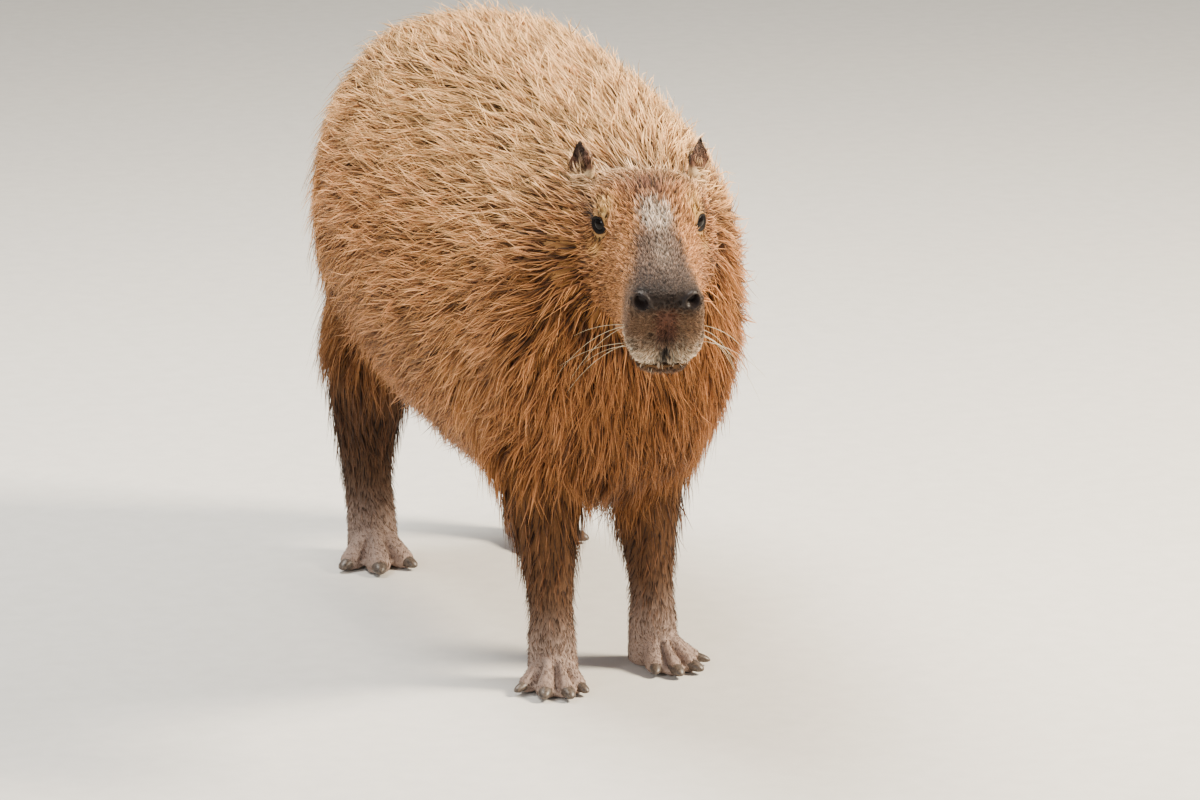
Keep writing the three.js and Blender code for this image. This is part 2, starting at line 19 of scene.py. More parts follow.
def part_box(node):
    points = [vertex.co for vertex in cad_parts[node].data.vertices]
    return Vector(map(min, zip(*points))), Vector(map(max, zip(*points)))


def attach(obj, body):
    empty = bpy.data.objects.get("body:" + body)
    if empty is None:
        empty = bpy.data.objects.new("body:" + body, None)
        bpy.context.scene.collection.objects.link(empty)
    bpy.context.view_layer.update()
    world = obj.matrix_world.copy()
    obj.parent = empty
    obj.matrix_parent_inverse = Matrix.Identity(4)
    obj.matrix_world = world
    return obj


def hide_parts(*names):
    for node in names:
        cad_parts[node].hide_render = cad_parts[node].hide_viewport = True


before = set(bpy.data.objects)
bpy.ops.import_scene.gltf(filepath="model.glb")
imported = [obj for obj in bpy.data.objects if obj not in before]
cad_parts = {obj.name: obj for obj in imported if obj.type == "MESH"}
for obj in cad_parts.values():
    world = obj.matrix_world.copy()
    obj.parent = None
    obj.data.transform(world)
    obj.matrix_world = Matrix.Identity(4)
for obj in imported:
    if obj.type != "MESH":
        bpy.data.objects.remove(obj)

logging.basicConfig(level=logging.INFO, format="%(message)s")
log = logging.getLogger("capybara")

MM = 0.001
FLOOR_GAP = 0.4  # height in millimetres at which soles and claws are pressed flat
Array = np.ndarray
Triple = tuple[float, float, float]
Section = tuple[float, float, float, float, float]


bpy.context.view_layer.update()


def linear(colour: str) -> Triple:
    """Turn an sRGB hex colour into linear light.

    Args:
        colour: Six hex digits after a hash sign.

    Returns:
        Red, green and blue in linear light.
    """
    channels = [int(colour[i : i + 2], 16) / 255 for i in (1, 3, 5)]
    return tuple(c / 12.92 if c <= 0.04045 else ((c + 0.055) / 1.055) ** 2.4 for c in channels)


def smooth(value: Array, low: float, high: float) -> Array:
    """Rise softly from 0 at low to 1 at high.

    Args:
        value: Where the rise is read.
        low: Value at which it starts.
        high: Value at which it ends.

    Returns:
        The share reached at each value.
    """
    share = np.clip((value - low) / (high - low), 0, 1)
    return share * share * (3 - 2 * share)


def between(base: Array, other: Array, share: Array) -> Array:
    """Go from some values to others.

    Args:
        base: Values at share 0, numbers or rows.
        other: Values at share 1.
        share: How far each value goes.

    Returns:
        The values in between.
    """
    return base + (other - base) * (share[:, None] if base.ndim > 1 else share)


def unit(vectors: Array) -> Array:
    """Scale vectors to unit length, leaving zeros alone."""
    size = np.linalg.norm(vectors, axis=-1, keepdims=True)
    return vectors / np.where(size > 1e-9, size, 1)


def spot(points: Array, centre: Triple, reach: Triple) -> Array:
    """Strength of a soft spot that fades away from its centre.

    Args:
        points: Places where the spot is read.
        centre: Middle of the spot.
        reach: Distance along each axis over which it fades.

    Returns:
        The strength at each point, 1 in the middle.
    """
    away = (points - np.array(centre)) / np.array(reach)
    return np.exp(-(away**2).sum(axis=1))


def in_frame(points: Array, place: Matrix) -> Array:
    """Points in a frame of their own, which lies at the given place in theirs."""
    turned = np.array(place.inverted())
    return points @ turned[:3, :3].T + turned[:3, 3]


@dataclass(frozen=True)
class Swell:
    """A soft rise of a form's surface, or a hollow where the amount is negative."""

    at: Triple
    reach: float
    amount: float


@dataclass(frozen=True)
class Form:
    """A rounded body through a row of cross sections, in millimetres.

    Each station holds the middle of a section and its half width and half height.
    """

    stations: tuple[Section, ...]
    caps: tuple[float, float]
    boxy: float = 2.0
    hand: int = 1
    ahead: Triple | None = None
    across: Triple = (1.0, 0.0, 0.0)
    swells: tuple[Swell, ...] = ()
    grid: tuple[int, int] = (48, 40)

    def curve(self, u: Array) -> Array:
        """Read the smooth curve through the stations.

        Args:
            u: Places along the form, from 0 to 1.

        Returns:
            Middle, half width and half height at each place.
        """
        values = np.array(self.stations, float)
        last = len(values) - 2
        t = np.clip(u, 0, 1) * (last + 1)
        low = np.clip(np.floor(t).astype(int), 0, last)
        p = t - low
        first_run, last_run = low == 0, low == last
        wp, wn = np.where(first_run, -0.5, 0.5), np.where(last_run, -0.5, 0.5)
        before = np.where(first_run, low + 1, low - 1)
        after = np.where(last_run, low, low + 2)
        weights = (
            (before, -wp * p**3 + 2 * wp * p**2 - wp * p),
            (low, (1 + wp) * p**3 + (-1.5 - 2 * wp) * p**2 + (-0.5 + wp) * p + 1),
            (low + 1, (-1 - wn) * p**3 + (1.5 + wn) * p**2 + 0.5 * p),
            (after, wn * p**3 - wn * p**2),
        )
        return sum(values[index] * weight[:, None] for index, weight in weights)

    def point(self, u: Array, angle: Array, grow: float = 0.0) -> Array:
        """Find points on the surface.

        Args:
            u: Places along the form, from 0 to 1.
            angle: Angles round it.
            grow: Distance by which the surface is moved outwards.

        Returns:
            The points, in millimetres.
        """
        section = self.curve(u)
        middle, wide, tall = section[:, :3], section[:, 3:4], section[:, 4:5]
        if self.ahead is None:
            ahead = unit(self.curve(u + 0.01)[:, :3] - self.curve(u - 0.01)[:, :3])
        else:
            ahead = np.broadcast_to(np.array(self.ahead), middle.shape)
        across = np.array(self.across)
        side = unit(across - ahead * (ahead @ across)[:, None])
        up = np.cross(side, ahead) * self.hand
        sine, cosine = np.sin(angle), np.cos(angle)
        bulge = (np.abs(cosine) ** self.boxy + np.abs(sine) ** self.boxy) ** (-1 / self.boxy)
        end = np.ones_like(u)
        for place, cap in ((u, self.caps[0]), (1 - u, self.caps[1])):
            end = end * np.sqrt(np.clip(1 - (1 - np.minimum(place / cap, 1)) ** 2, 0, None))
        out = side * (sine * bulge * end)[:, None] * wide + up * (cosine * bulge * end)[:, None] * tall
        point = middle + out
        rise = np.full(len(u), float(grow))
        for swell in self.swells:
            x, y, z = swell.at
            away = np.stack([np.abs(point[:, 0] - middle[:, 0]) - x, point[:, 1] - y, point[:, 2] - z], 1)
            rise += swell.amount * np.exp(-(away**2).sum(1) / swell.reach**2)
        lengthwise = np.where(u < 0.5, -1, 1) * np.sqrt(np.clip(1 - end**2, 0, None))
        outwards = unit(out) * np.minimum(1, end * 1.6)[:, None] + ahead * lengthwise[:, None]
        return point + outwards * rise[:, None]

    def shell(
        self,
        bm: BMesh,
        place: Matrix,
        grow: float = 0.0,
        floor: bool = False,
        press: Callable[[Array], Array] = lambda points: points,
    ) -> None:
        """Add a closed shell of the form to a mesh, in millimetres.

        Args:
            bm: Mesh that takes the shell.
            place: Frame of the form.
            grow: Distance by which the surface is moved outwards.
            floor: Whether what is below the floor is pressed flat on it.
            press: What is done to the shell's points before they are placed.
        """
        around, rows = self.grid
        made = bmesh.ops.create_uvsphere(bm, u_segments=around, v_segments=rows, radius=1)["verts"]
        ball = np.array([vert.co for vert in made])
        points = press(self.point((1 - ball[:, 2]) / 2, np.arctan2(ball[:, 0], ball[:, 1]), grow))
        for vert, co in zip(made, points):
            vert.co = place @ Vector(co)
            if floor:
                vert.co.z = max(vert.co.z, FLOOR_GAP)


@dataclass(frozen=True)
class Toe:
    """One toe: its turn away from the paw's middle, its length and its thickness."""

    name: str
    fan: float
    length: float
    radius: float

    def body(self, side: int, rows: tuple, caps: tuple[float, float], grid: tuple[int, int]) -> Form:
        """A body that runs along the toe.

        Args:
            side: -1 on a right paw, 1 on a left one.
            rows: Distance from the paw's middle, height, half width and half height of each section.
            caps: Shares of its length over which its ends are rounded.
            grid: Faces round it and along it.

        Returns:
            The body, in the paw's frame.
        """
        turn = math.radians(self.fan * side)
        sine, cosine = math.sin(turn), math.cos(turn)
        stations = tuple((sine * reach, -cosine * reach, *section) for reach, *section in rows)
        return Form(stations, caps, hand=-1, across=(cosine, sine, 0), grid=grid)

    def form(self, side: int) -> Form:
        """The toe's body, from inside the paw to the tip.

        Args:
            side: -1 on a right paw, 1 on a left one.

        Returns:
            The body, in the paw's frame.
        """
        rows = ((0.05, 32, 1.0, 1.1), (0.38, 22, 1.05, 1.05), (0.68, 11.5, 1.0, 0.95), (1.0, 7.5, 0.82, 0.74))
        sizes = tuple((share * self.length, z, w * self.radius, t * self.radius) for share, z, w, t in rows)
        return self.body(side, sizes, (0.2, 0.2), (24, 24))

    def claw(self, side: int) -> Form:
        """The toe's blunt claw, which starts inside the toe, tapers and bends down beyond its tip.

        Args:
            side: -1 on a right paw, 1 on a left one.

        Returns:
            The claw, in the paw's frame.
        """
        inside, beyond, high, drop = 13.0, 10.0, 9.2, 3.4
        rows = tuple(
            (
                self.length - inside + t * (inside + beyond),
                high - drop * t * t,
                self.radius * 0.6 * (1 - 0.45 * t * t),
                self.radius * 0.5 * (1 - 0.55 * t * t),
            )
            for t in (0.0, 0.5, 1.0)
        )
        return self.body(side, rows, (0.2, 0.25), (16, 14))


FORE_LEG = (
    (6, 34, 330, 54, 70),
    (3, 34, 262, 52, 62),
    (1, 28, 200, 43, 47),
    (0, 16, 140, 31, 33),
    (0, 6, 86, 24, 24),
    (0, 2, 46, 26, 25),
    (0, -2, -5, 29, 28),
)
HIND_LEG = (
    (-34, 8, 350, 42, 66),
    (-13, 10, 276, 51, 66),
    (-1, 14, 205, 46, 52),
    (1, 22, 145, 35, 38),
    (1, 20, 94, 28, 29),
    (0, 10, 50, 28, 28),
    (0, 0, -5, 31, 30),
)
FORE_TOES = (
    Toe("inner", -30, 52, 12),
    Toe("second", -9, 64, 13.5),
    Toe("third", 14, 62, 13.5),
    Toe("outer", 46, 52, 11),
)
HIND_TOES = (Toe("inner", -36, 62, 14), Toe("middle", 0, 72, 15.5), Toe("outer", 36, 62, 14))


@dataclass(frozen=True)
class Limb:
    """One leg with its paw: where it stands, how it is turned out, and its sections."""

    name: str
    x: float
    y: float
    side: int
    splay: float
    sections: tuple[Section, ...]
    toes: tuple[Toe, ...]

    def paw_frame(self) -> Matrix:
        """The frame of the paw, on the floor below the wrist."""
        turned = Matrix.Rotation(math.radians(self.side * self.splay), 4, "Z")
        return Matrix.Translation((self.x, self.y, 0)) @ turned

    def form(self) -> Form:
        """The leg's body, from inside the trunk to the floor."""
        stations = tuple((self.x + self.side * x, self.y + y, z, w, t) for x, y, z, w, t in self.sections)
        return Form(stations, (0.08, 0.04), grid=(40, 44))

    def nearness(self, points: Array) -> Array:
        """Distance of points from the leg's axis.

        Args:
            points: Places in the body's frame, in millimetres.

        Returns:
            The distances, as shares of the leg's own half sizes at the points' heights.
        """
        rows = np.array(self.sections, float)[::-1]
        x, y, wide, tall = (np.interp(points[:, 2], rows[:, 2], rows[:, k]) for k in (0, 1, 3, 4))
        across = (points[:, 0] - self.x - self.side * x) / wide
        return np.hypot(across, (points[:, 1] - self.y - y) / tall)


LIMBS = (
    Limb("right_fore", -65, -6, -1, 12, FORE_LEG, FORE_TOES),
    Limb("left_fore", 61, 36, 1, 14, FORE_LEG, FORE_TOES),
    Limb("right_hind", -98, 529, -1, 12, HIND_LEG, HIND_TOES),
    Limb("left_hind", 98, 560, 1, 12, HIND_LEG, HIND_TOES),
)

BODY_WIDTH = 338
BODY_DEPTH = 414
TRUNK = Form(
    stations=tuple(
        (x, y, z, wide * BODY_WIDTH / 2, tall * BODY_DEPTH / 2)
        for x, y, z, wide, tall in (
            (-20, -152, 494, 0.38, 0.31),
            (-16, -106, 460, 0.58, 0.53),
            (-3, -42, 419, 0.76, 0.82),
            (5, 60, 403, 0.83, 0.98),
            (4, 220, 403, 0.92, 1.06),
            (2, 380, 414, 0.95, 1.04),
            (0, 510, 416, 0.9, 0.96),
            (0, 600, 406, 0.77, 0.8),
            (0, 672, 390, 0.58, 0.58),
        )
    ),
    boxy=2.3,
    ahead=(0, 1, 0),
    caps=(0.07, 0.16),
    grid=(72, 96),
    swells=(
        Swell((112, 535, 325), 112, 6),
        Swell((100, 10, 340), 100, 6),
        Swell((78, 70, 215), 70, 22),
        Swell((0, -75, 245), 90, 14),
    ),
)
HEAD = Form(
    stations=tuple(
        (0, y, (top + bottom) / 2, wide, (top - bottom) / 2)
        for y, top, bottom, wide in (
            (108, 14, -62, 46),
            (66, 29, -96, 64),
            (18, 34, -107, 60),
            (-36, 27, -100, 50),
            (-84, 14, -94, 42),
            (-120, 5, -89, 40),
            (-146, -2, -87, 39),
            (-161, -9, -83, 35),
        )
    ),
    hand=-1,
    boxy=2.7,
    caps=(0.1, 0.07),
    grid=(72, 96),
    swells=(
        Swell((46, 6, 20), 20, 6),
        Swell((48, -26, 0), 20, -4),
        Swell((58, 50, -58), 46, 9),
        Swell((42, -88, -36), 32, -3),
        Swell((28, -154, -16), 15, 6),
        Swell((21, -162, -64), 21, 6),
        Swell((0, -165, -40), 15, -4),
    ),
)
JAW = Form(
    stations=(
        (0, 40, -76, 44, 26),
        (0, -30, -82, 41, 23),
        (0, -88, -86, 33, 18),
        (0, -130, -87, 29, 15),
        (0, -153, -86, 24, 13),
    ),
    hand=-1,
    boxy=2.4,
    caps=(0.2, 0.14),
    grid=(48, 48),
)

EYE_MIDDLE = Vector((-26, -196, 533))
HEAD_FRAME = (
    Matrix.Translation(EYE_MIDDLE)
    @ Matrix.Rotation(math.radians(-12.5), 4, "Z")
    @ Matrix.Rotation(math.radians(12), 4, "X")
)
NOSTRIL = (26.0, -163.0, -15.0)


def in_head(points: Array) -> Array:
    """Points of the body's frame in the head's own frame, both in millimetres."""
    return (points - np.array(EYE_MIDDLE)) @ np.array(HEAD_FRAME.to_3x3())


def from_head(vectors: Array) -> Array:
    """Directions of the head's frame in the body's frame."""
    return vectors @ np.array(HEAD_FRAME.to_3x3()).T


@dataclass(frozen=True)
class Eye:
    """One eye: the ball in its socket and the almond opening of its lids, in the head's frame."""

    side: int
    radius: float = 10.0
    place: Triple = (45.5, -2.0, 0.0)
    lid: Triple = (13.5, 19.0, 15.0)
    opening: Triple = (9.8, 8.6, 8.0)
    turn: float = 46.0
    slant: float = 17.0
    pinch: float = 0.3  # how much lower the opening is at its corners

    @property
    def which(self) -> str:
        """Left or right, as the animal has it."""
        return "left" if self.side > 0 else "right"

    def centre(self) -> Array:
        """The middle of the ball."""
        return np.array([self.side * self.place[0], self.place[1], self.place[2]])

    def axes(self) -> tuple[Array, Array, Array]:
        """Work out how the eye is turned.

        Returns:
            Where it looks, and the long and the short axis of its opening.
        """
        turn = math.radians(self.turn)
        facing = unit(np.array([self.side * math.cos(turn), -math.sin(turn), 0.08]))
        level = unit(np.cross(facing, [0.0, 0.0, 1.0]))
        level *= -np.sign(level[1])
        upright = np.cross(level, facing)
        upright *= np.sign(upright[2])
        tilt = math.radians(self.slant)
        long = level * math.cos(tilt) - upright * math.sin(tilt)
        short = level * math.sin(tilt) + upright * math.cos(tilt)
        return facing, long, short

    def almond(self, there: Array) -> tuple[Array, Array, Array]:
        """Where places lie against the opening of the lids.

        Args:
            there: Places in the head's frame.

        Returns:
            Distance from the middle of the opening, 1 at its edge; height above it; whether it is in front.
        """
        facing, long, short = self.axes()
        away = there - self.centre()
        wide, upper, lower = self.opening
        along, high = away @ long / wide, away @ short
        tall = np.where(high > 0, upper, lower) * (1 - self.pinch * np.clip(np.abs(along), 0, 1) ** 2)
        return np.hypot(along, high / tall), high, (away @ facing > -3).astype(float)


EYES = (Eye(-1), Eye(1))


@dataclass(frozen=True)
class Ear:
    """One ear: an upright leaf with a cup that opens forwards and outwards.

    Each row of the leaf holds its height, half width and half thickness as shares of the ear's sizes.
    """

    side: int
    place: Triple = (58.0, 76.0, 16.0)
    height: float = 34.0
    width: float = 34.0
    thick: float = 15.0
    bend: float = 4.0
    hollow: float = 1.55
    turns: Triple = (-6.0, 20.0, 40.0)
    leaf: tuple[Triple, ...] = (
        (-0.45, 0.3, 0.5),
        (0.12, 0.42, 0.5),
        (0.42, 0.45, 0.42),
        (0.78, 0.26, 0.3),
        (1.16, 0.03, 0.12),
    )

    def ear_frame(self) -> Matrix:
        """How the ear stands on the head.

        Returns:
            The ear's frame in the body's frame.
        """
        x, y, z = self.place
        nod, lean, turn = (math.radians(a) for a in self.turns)
        made = Matrix.Translation((self.side * x, y, z)) @ Matrix.Rotation(self.side * turn, 4, "Z")
        made = made @ Matrix.Rotation(self.side * lean, 4, "Y") @ Matrix.Rotation(nod, 4, "X")
        return HEAD_FRAME @ made

    def cupped(self, points: Array) -> Array:
        """Press the leaf's front in to a cup.

        Args:
            points: The leaf's points in the ear's frame.

        Returns:
            The same points, moved.
        """
        rise = np.clip(points[:, 2] / self.height, 0, 1)
        rises, halves, _ = zip(*self.leaf)
        half = np.interp(rise, rises, halves) * self.width
        middle = rise**2 * self.bend
        cup = np.clip(1 - (points[:, 0] / (0.85 * half)) ** 2, 0, 1) * smooth(rise, 0.02, 0.3)
        points[:, 1] += np.where(points[:, 1] < middle, cup * (middle - points[:, 1]) * self.hollow, 0)
        return points

    def shell(self, bm: BMesh) -> None:
        """Add the ear to a mesh.

        Args:
            bm: Mesh that takes it.
        """
        stations = tuple(
            (0, rise**2 * self.bend, rise * self.height, half * self.width, deep * self.thick)
            for rise, half, deep in self.leaf
        )
        Form(stations, (0.1, 0.08), grid=(40, 36)).shell(bm, self.ear_frame(), -0.6, press=self.cupped)

    def share(self, points: Array) -> tuple[Array, Array]:
        """Which places belong to the ear.

        Args:
            points: Places in the body's frame.

        Returns:
            How far each place lies on the ear, and how far on its front, from 0 to 1.
        """
        there = in_frame(points, self.ear_frame())
        rise = there[:, 2] / self.height
        on = smooth(rise, 0.12, 0.3) * (1 - smooth(np.abs(there[:, 0]), 19, 23))
        on = on * (1 - smooth(np.abs(there[:, 1] - 2), 9, 13)) * (rise < 1.4)
        return on, 1 - smooth(there[:, 1], -2, 3)

    def foot(self, points: Array) -> Array:
        """How close places of the body's frame are to the front of the ear's foot, from 0 to 1."""
        return spot(points, tuple(self.ear_frame() @ Vector((0, -5, 2))), (22, 22, 22))


EARS = (Ear(-1), Ear(1))


def part_shift() -> Array:
    """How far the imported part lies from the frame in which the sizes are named, in millimetres."""
    low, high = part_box("left_eye")
    return np.array((low + high) / 2) / MM - np.array(HEAD_FRAME @ Vector(Eye(1).centre()))


SHIFT = part_shift()


class Hue(Enum):
    """Colours of the coat and the bare skin, as sRGB; some of them are darkened as painted shade."""

    STRAW = "#ffd190"
    TAN = "#e6a967"
    RUST = "#b5783d"
    # Painted shade for the underside of the trunk and the low flank of the rump.
    SHADE_BELOW = "#6d4728"
    # Brown fur of the upper legs, darkened as painted shade, most on the hind legs.
    THIGH_SHADE = "#5e3f28"
    SHANK = "#7f624e"
    PAW = "#a18b7f"
    CROWN = "#ffdeb0"
    BROW = "#80594a"
    BLAZE = "#cdc1b4"
    BRIDGE = "#685850"
    CHEEK = "#cf9458"
    GOLD = "#fbcd7c"
    STREAK = "#3a2a24"
    LID = "#1a100b"
    NOSE = "#241d1b"
    LIP_STRIP = "#6b4434"
    MUZZLE = "#6c5a4c"
    LIP = "#efe4cf"
    CHIN_SHADE = "#513722"
    # Brown fur of the chin, darkened as painted shade under the muzzle.
    EAR = "#5e4a40"
    EAR_FRONT = "#96684f"

    @property
    def light(self) -> Array:
        """The colour in linear light."""
        return np.array(linear(self.value))


def ripple(points: Array, size: float, seed: int) -> Array:
    """Soft, even noise that swings about zero.

    Args:
        points: Places where it is read.
        size: Distance over which it changes, in millimetres.
        seed: Number of the pattern.

    Returns:
        The noise, mostly between -1 and 1.
    """
    draw = np.random.default_rng(seed)
    waves = unit(draw.normal(0, 1, (9, 3))) * draw.uniform(0.6, 1.5, (9, 1)) * 2 * math.pi / size
    return np.sin(points @ waves.T + draw.uniform(0, 2 * math.pi, 9)).sum(1) / 4


def head_share(points: Array) -> Array:
    """How far places belong to the head.

    Args:
        points: Places in the body's frame, in millimetres.

    Returns:
        The share of each, from 0 on the neck to 1 on the face.
    """
    there = in_head(points)
    radial = np.hypot(there[:, 0] / 78, (there[:, 2] + 35) / 88)
    return (1 - smooth(there[:, 1], 48, 112)) * (1 - smooth(radial, 1.02, 1.25))


def leg_share(points: Array) -> Array:
    """How far places belong to a leg.

    Args:
        points: Places in the body's frame, in millimetres.

    Returns:
        The share of each, from 0 on the trunk to 1 on the shank.
    """
    near = np.min([limb.nearness(points) for limb in LIMBS], axis=0)
    shank = 1 - smooth(points[:, 2], 90, 130)
    return np.maximum(1 - smooth(near, 1.12, 1.5), shank) * (1 - smooth(points[:, 2], 215, 300))


def mixed(made: Array, *layers: tuple[Hue, Array]) -> Array:
    """Lay colours over others.

    Args:
        made: Colours in linear light.
        layers: Each colour that is laid over them in turn, and how much of it each place takes.

    Returns:
        The mixed colours.
    """
    for hue, share in layers:
        made = between(made, hue.light, np.clip(share, 0, 1))
    return made


def markings(points: Array) -> Array:
    """The animal's markings, which the skin and the coat share, with painted shade under the trunk, on the
    upper legs and on the chin.

    Args:
        points: Places in the body's frame, in millimetres.

    Returns:
        Colours in linear light.
    """
    _, y, z = points.T
    middle = TRUNK.curve(np.interp(y, [s[1] for s in TRUNK.stations], np.linspace(0, 1, len(TRUNK.stations))))
    level = (z - middle[:, 2]) / middle[:, 4]
    hind = smooth(y, 200, 340)
    made = mixed(
        np.tile(Hue.TAN.light, (len(points), 1)),
        (Hue.STRAW, smooth(level, 0.1, 0.9)),
        (Hue.RUST, 0.85 * (1 - smooth(level, -0.8, 0.05))),
        # Painted shade: the lowest part of the trunk is darkened.
        (Hue.SHADE_BELOW, 0.75 * (1 - smooth(level, -1.15, -0.45))),
        (Hue.RUST, 0.5 * (1 - smooth(y, -120, 40)) * (1 - smooth(level, 0.0, 0.6))),
        # Painted shade: the low flank towards the rump is darkened as well.
        (Hue.SHADE_BELOW, 0.6 * smooth(y, 340, 480) * (1 - smooth(level, -0.75, 0.05))),
        # Painted shade over the brown fur of the upper legs, deeper on the hind legs.
        (Hue.THIGH_SHADE, (0.65 + 0.3 * hind) * leg_share(points) * (1 - smooth(z, 130, 290))),
        (Hue.SHANK, (0.75 + 0.15 * hind) * (1 - smooth(z, 60, 150 + 25 * hind))),
        (Hue.PAW, 1 - smooth(z, 30, 100)),
    )
    made = between(made, face_markings(in_head(points)), head_share(points))
    for ear in EARS:
        on, ahead = ear.share(points)
        made = mixed(made, (Hue.EAR, on), (Hue.EAR_FRONT, 0.75 * on * ahead))
    return made


def face_markings(there: Array) -> Array:
    """The colours of the head, with painted shade on the chin and in the seam of the lips.

    Args:
        there: Places in the head's frame, in millimetres.

    Returns:
        Colours in linear light.
    """
    x, y, z = there.T
    across = np.abs(x)
    half = np.interp(y, [-150, -84, -40], [31, 23, 15])
    ridge = (1 - smooth(across, half - 6, half + 7)) * smooth(-y, 38, 80) * smooth(z, -34, -14)
    made = mixed(
        np.tile(Hue.CHEEK.light, (len(there), 1)),
        (Hue.TAN, 0.6 * smooth(y, 0, 60)),
        (Hue.CROWN, smooth(z, -8, 22) * smooth(y, 0, 55)),
        (Hue.RUST, 0.45 * (1 - smooth(z, -80, -30)) * smooth(y, -80, 0)),
        (Hue.BROW, 0.9 * spot(there, (0, 2, 32), (27, 24, 16))),
        (Hue.MUZZLE, 0.85 * smooth(-y, 96, 138) * (1 - smooth(-z, 60, 84))),
        # Painted shade: the chin below the mouth is darkened.
        (Hue.CHIN_SHADE, 0.85 * (1 - smooth(z - mouth_line(y), -4, 1)) * (1 - smooth(y, -125, -85))),
        (Hue.BRIDGE, 0.95 * ridge),
        (Hue.BLAZE, 0.95 * smooth(spot(there, (2, -46, 24), (17, 27, 30)), 0.2, 0.62)),
        (Hue.BLAZE, 0.3 * spot(there, (2, -98, 8), (9, 26, 20))),
        (Hue.NOSE, 0.6 * ridge * smooth(-y, 122, 150)),
    )
    for eye in EYES:
        cx, cy, _ = eye.centre()
        almond, _, front = eye.almond(there)
        made = mixed(
            made,
            (Hue.GOLD, spot(there, (cx * 0.98, cy - 5, 17), (13, 16, 8))),
            (Hue.GOLD, 0.8 * spot(there, (cx * 1.05, cy - 14, -17), (14, 15, 8))),
            (Hue.STREAK, spot(there, (cx * 1.22, cy + 9, 3.5), (12, 13, 5.5))),
            (Hue.LID, front * (1 - smooth(almond, 1.1, 1.28))),
        )
    pale = np.clip(0.3 + 0.7 * smooth(-z, 60, 76) + 0.3 * smooth(across, 26, 36), 0, 1)
    above = smooth(z - mouth_line(y), 0, 3)
    strip = (1 - smooth(across, 6, 13)) * smooth(-y, 146, 158)
    return mixed(
        made,
        (Hue.LIP, 0.9 * smooth(-y, 112, 146) * smooth(-z, 46, 68) * above * pale),
        (Hue.LIP_STRIP, 0.95 * strip * smooth(-z, 22, 30) * (1 - smooth(-z, 52, 66))),
        (Hue.NOSE, nose_share(there)),
        (Hue.NOSE, 0.45 * strip * smooth(-z, 38, 56)),
        # Painted shade: the foot of the lip's cleft and the seam of the lips are painted near black.
        (Hue.NOSE, cleft_share(there)),
        (Hue.NOSE, 0.9 * mouth_share(there)),
    )


def nose_share(there: Array) -> Array:
    """How far places belong to the bare nose leather.

    Args:
        there: Places in the head's frame, in millimetres.

    Returns:
        The share of each, from 0 to 1.
    """
    x, y, z = there.T
    band = (1 - smooth(np.abs(x), 24, 36)) * smooth(-y, 146, 157) * (1 - smooth(np.abs(z + 13), 5, 15))
    wings = np.max([spot(there, (side * 27, -160, -15), (12, 12, 10)) for side in (-1, 1)], axis=0)
    return np.clip(0.6 * band + 0.9 * wings, 0, 1)


def cleft_share(there: Array) -> Array:
    """How far places belong to the dark cleft of the upper lip.

    Args:
        there: Places in the head's frame, in millimetres.

    Returns:
        The share of each, from 0 to 1.
    """
    x, y, z = there.T
    width = 1 - smooth(np.abs(x), 1.5, 4 + 5 * smooth(-z, 62, 84))
    return width * smooth(-y, 146, 154) * smooth(-z, 56, 66) * smooth(z - mouth_line(y), -2, 1)


def mouth_line(y: Array) -> Array:
    """Height of the line of the mouth in the head's frame, which rises towards the corners."""
    return -88 + 9 * np.clip((y + 190) / 106, 0, 1) ** 2


def mouth_share(there: Array, half: float = 3.0) -> Array:
    """How close places of the head's frame lie to the line of the mouth, within a half width."""
    away = np.abs(there[:, 2] - mouth_line(there[:, 1]))
    return (1 - smooth(away, half * 0.4, half)) * smooth(-there[:, 1], 84, 100)


def node(tree: NodeTree, kind: str, inputs: dict | None = None, **settings: object) -> Node:
    """Add a node with its settings and links.

    Args:
        tree: Node tree that takes the node.
        kind: Blender's name for the node's type, after the word ShaderNode.
        inputs: Values of sockets, or the output sockets that are linked to them, by name or number.
        settings: Properties of the node.

    Returns:
        The new node.
    """
    made = tree.nodes.new("ShaderNode" + kind)
    for key, value in settings.items():
        setattr(made, key, value)
    for key, value in (inputs or {}).items():
        if isinstance(value, NodeSocket):
            tree.links.new(value, made.inputs[key])
        else:
            made.inputs[key].default_value = value
    return made


def ramp(made: Node, *stops: tuple[float, str]) -> NodeSocket:
    """Set the stops of a colour ramp node.

    Args:
        made: The colour ramp node.
        stops: Places from 0 to 1 with their sRGB colours.

    Returns:
        The node's colour output.
    """
    while len(made.color_ramp.elements) < len(stops):
        made.color_ramp.elements.new(0.5)
    for element, (place, colour) in zip(made.color_ramp.elements, stops):
        element.position = place
        element.color = (*linear(colour), 1)
    return made.outputs["Color"]


@dataclass(frozen=True)
class Finish:
    """A finish: one shader with the patterns that feed it."""

    name: str

    def inputs(self, tree: NodeTree) -> dict:
        """Lay out the patterns.

        Args:
            tree: Node tree that takes them.

        Returns:
            Values and output sockets for the shader's inputs.
        """
        raise NotImplementedError

    def material(self) -> Material:
        """Build the finish.

        Returns:
            A new material.
        """
        material = bpy.data.materials.new(self.name)
        material.use_nodes = True
        tree = material.node_tree
        tree.nodes.clear()
        shader = node(tree, "BsdfPrincipled", self.inputs(tree))
        node(tree, "OutputMaterial", {"Surface": shader.outputs["BSDF"]})
        return material


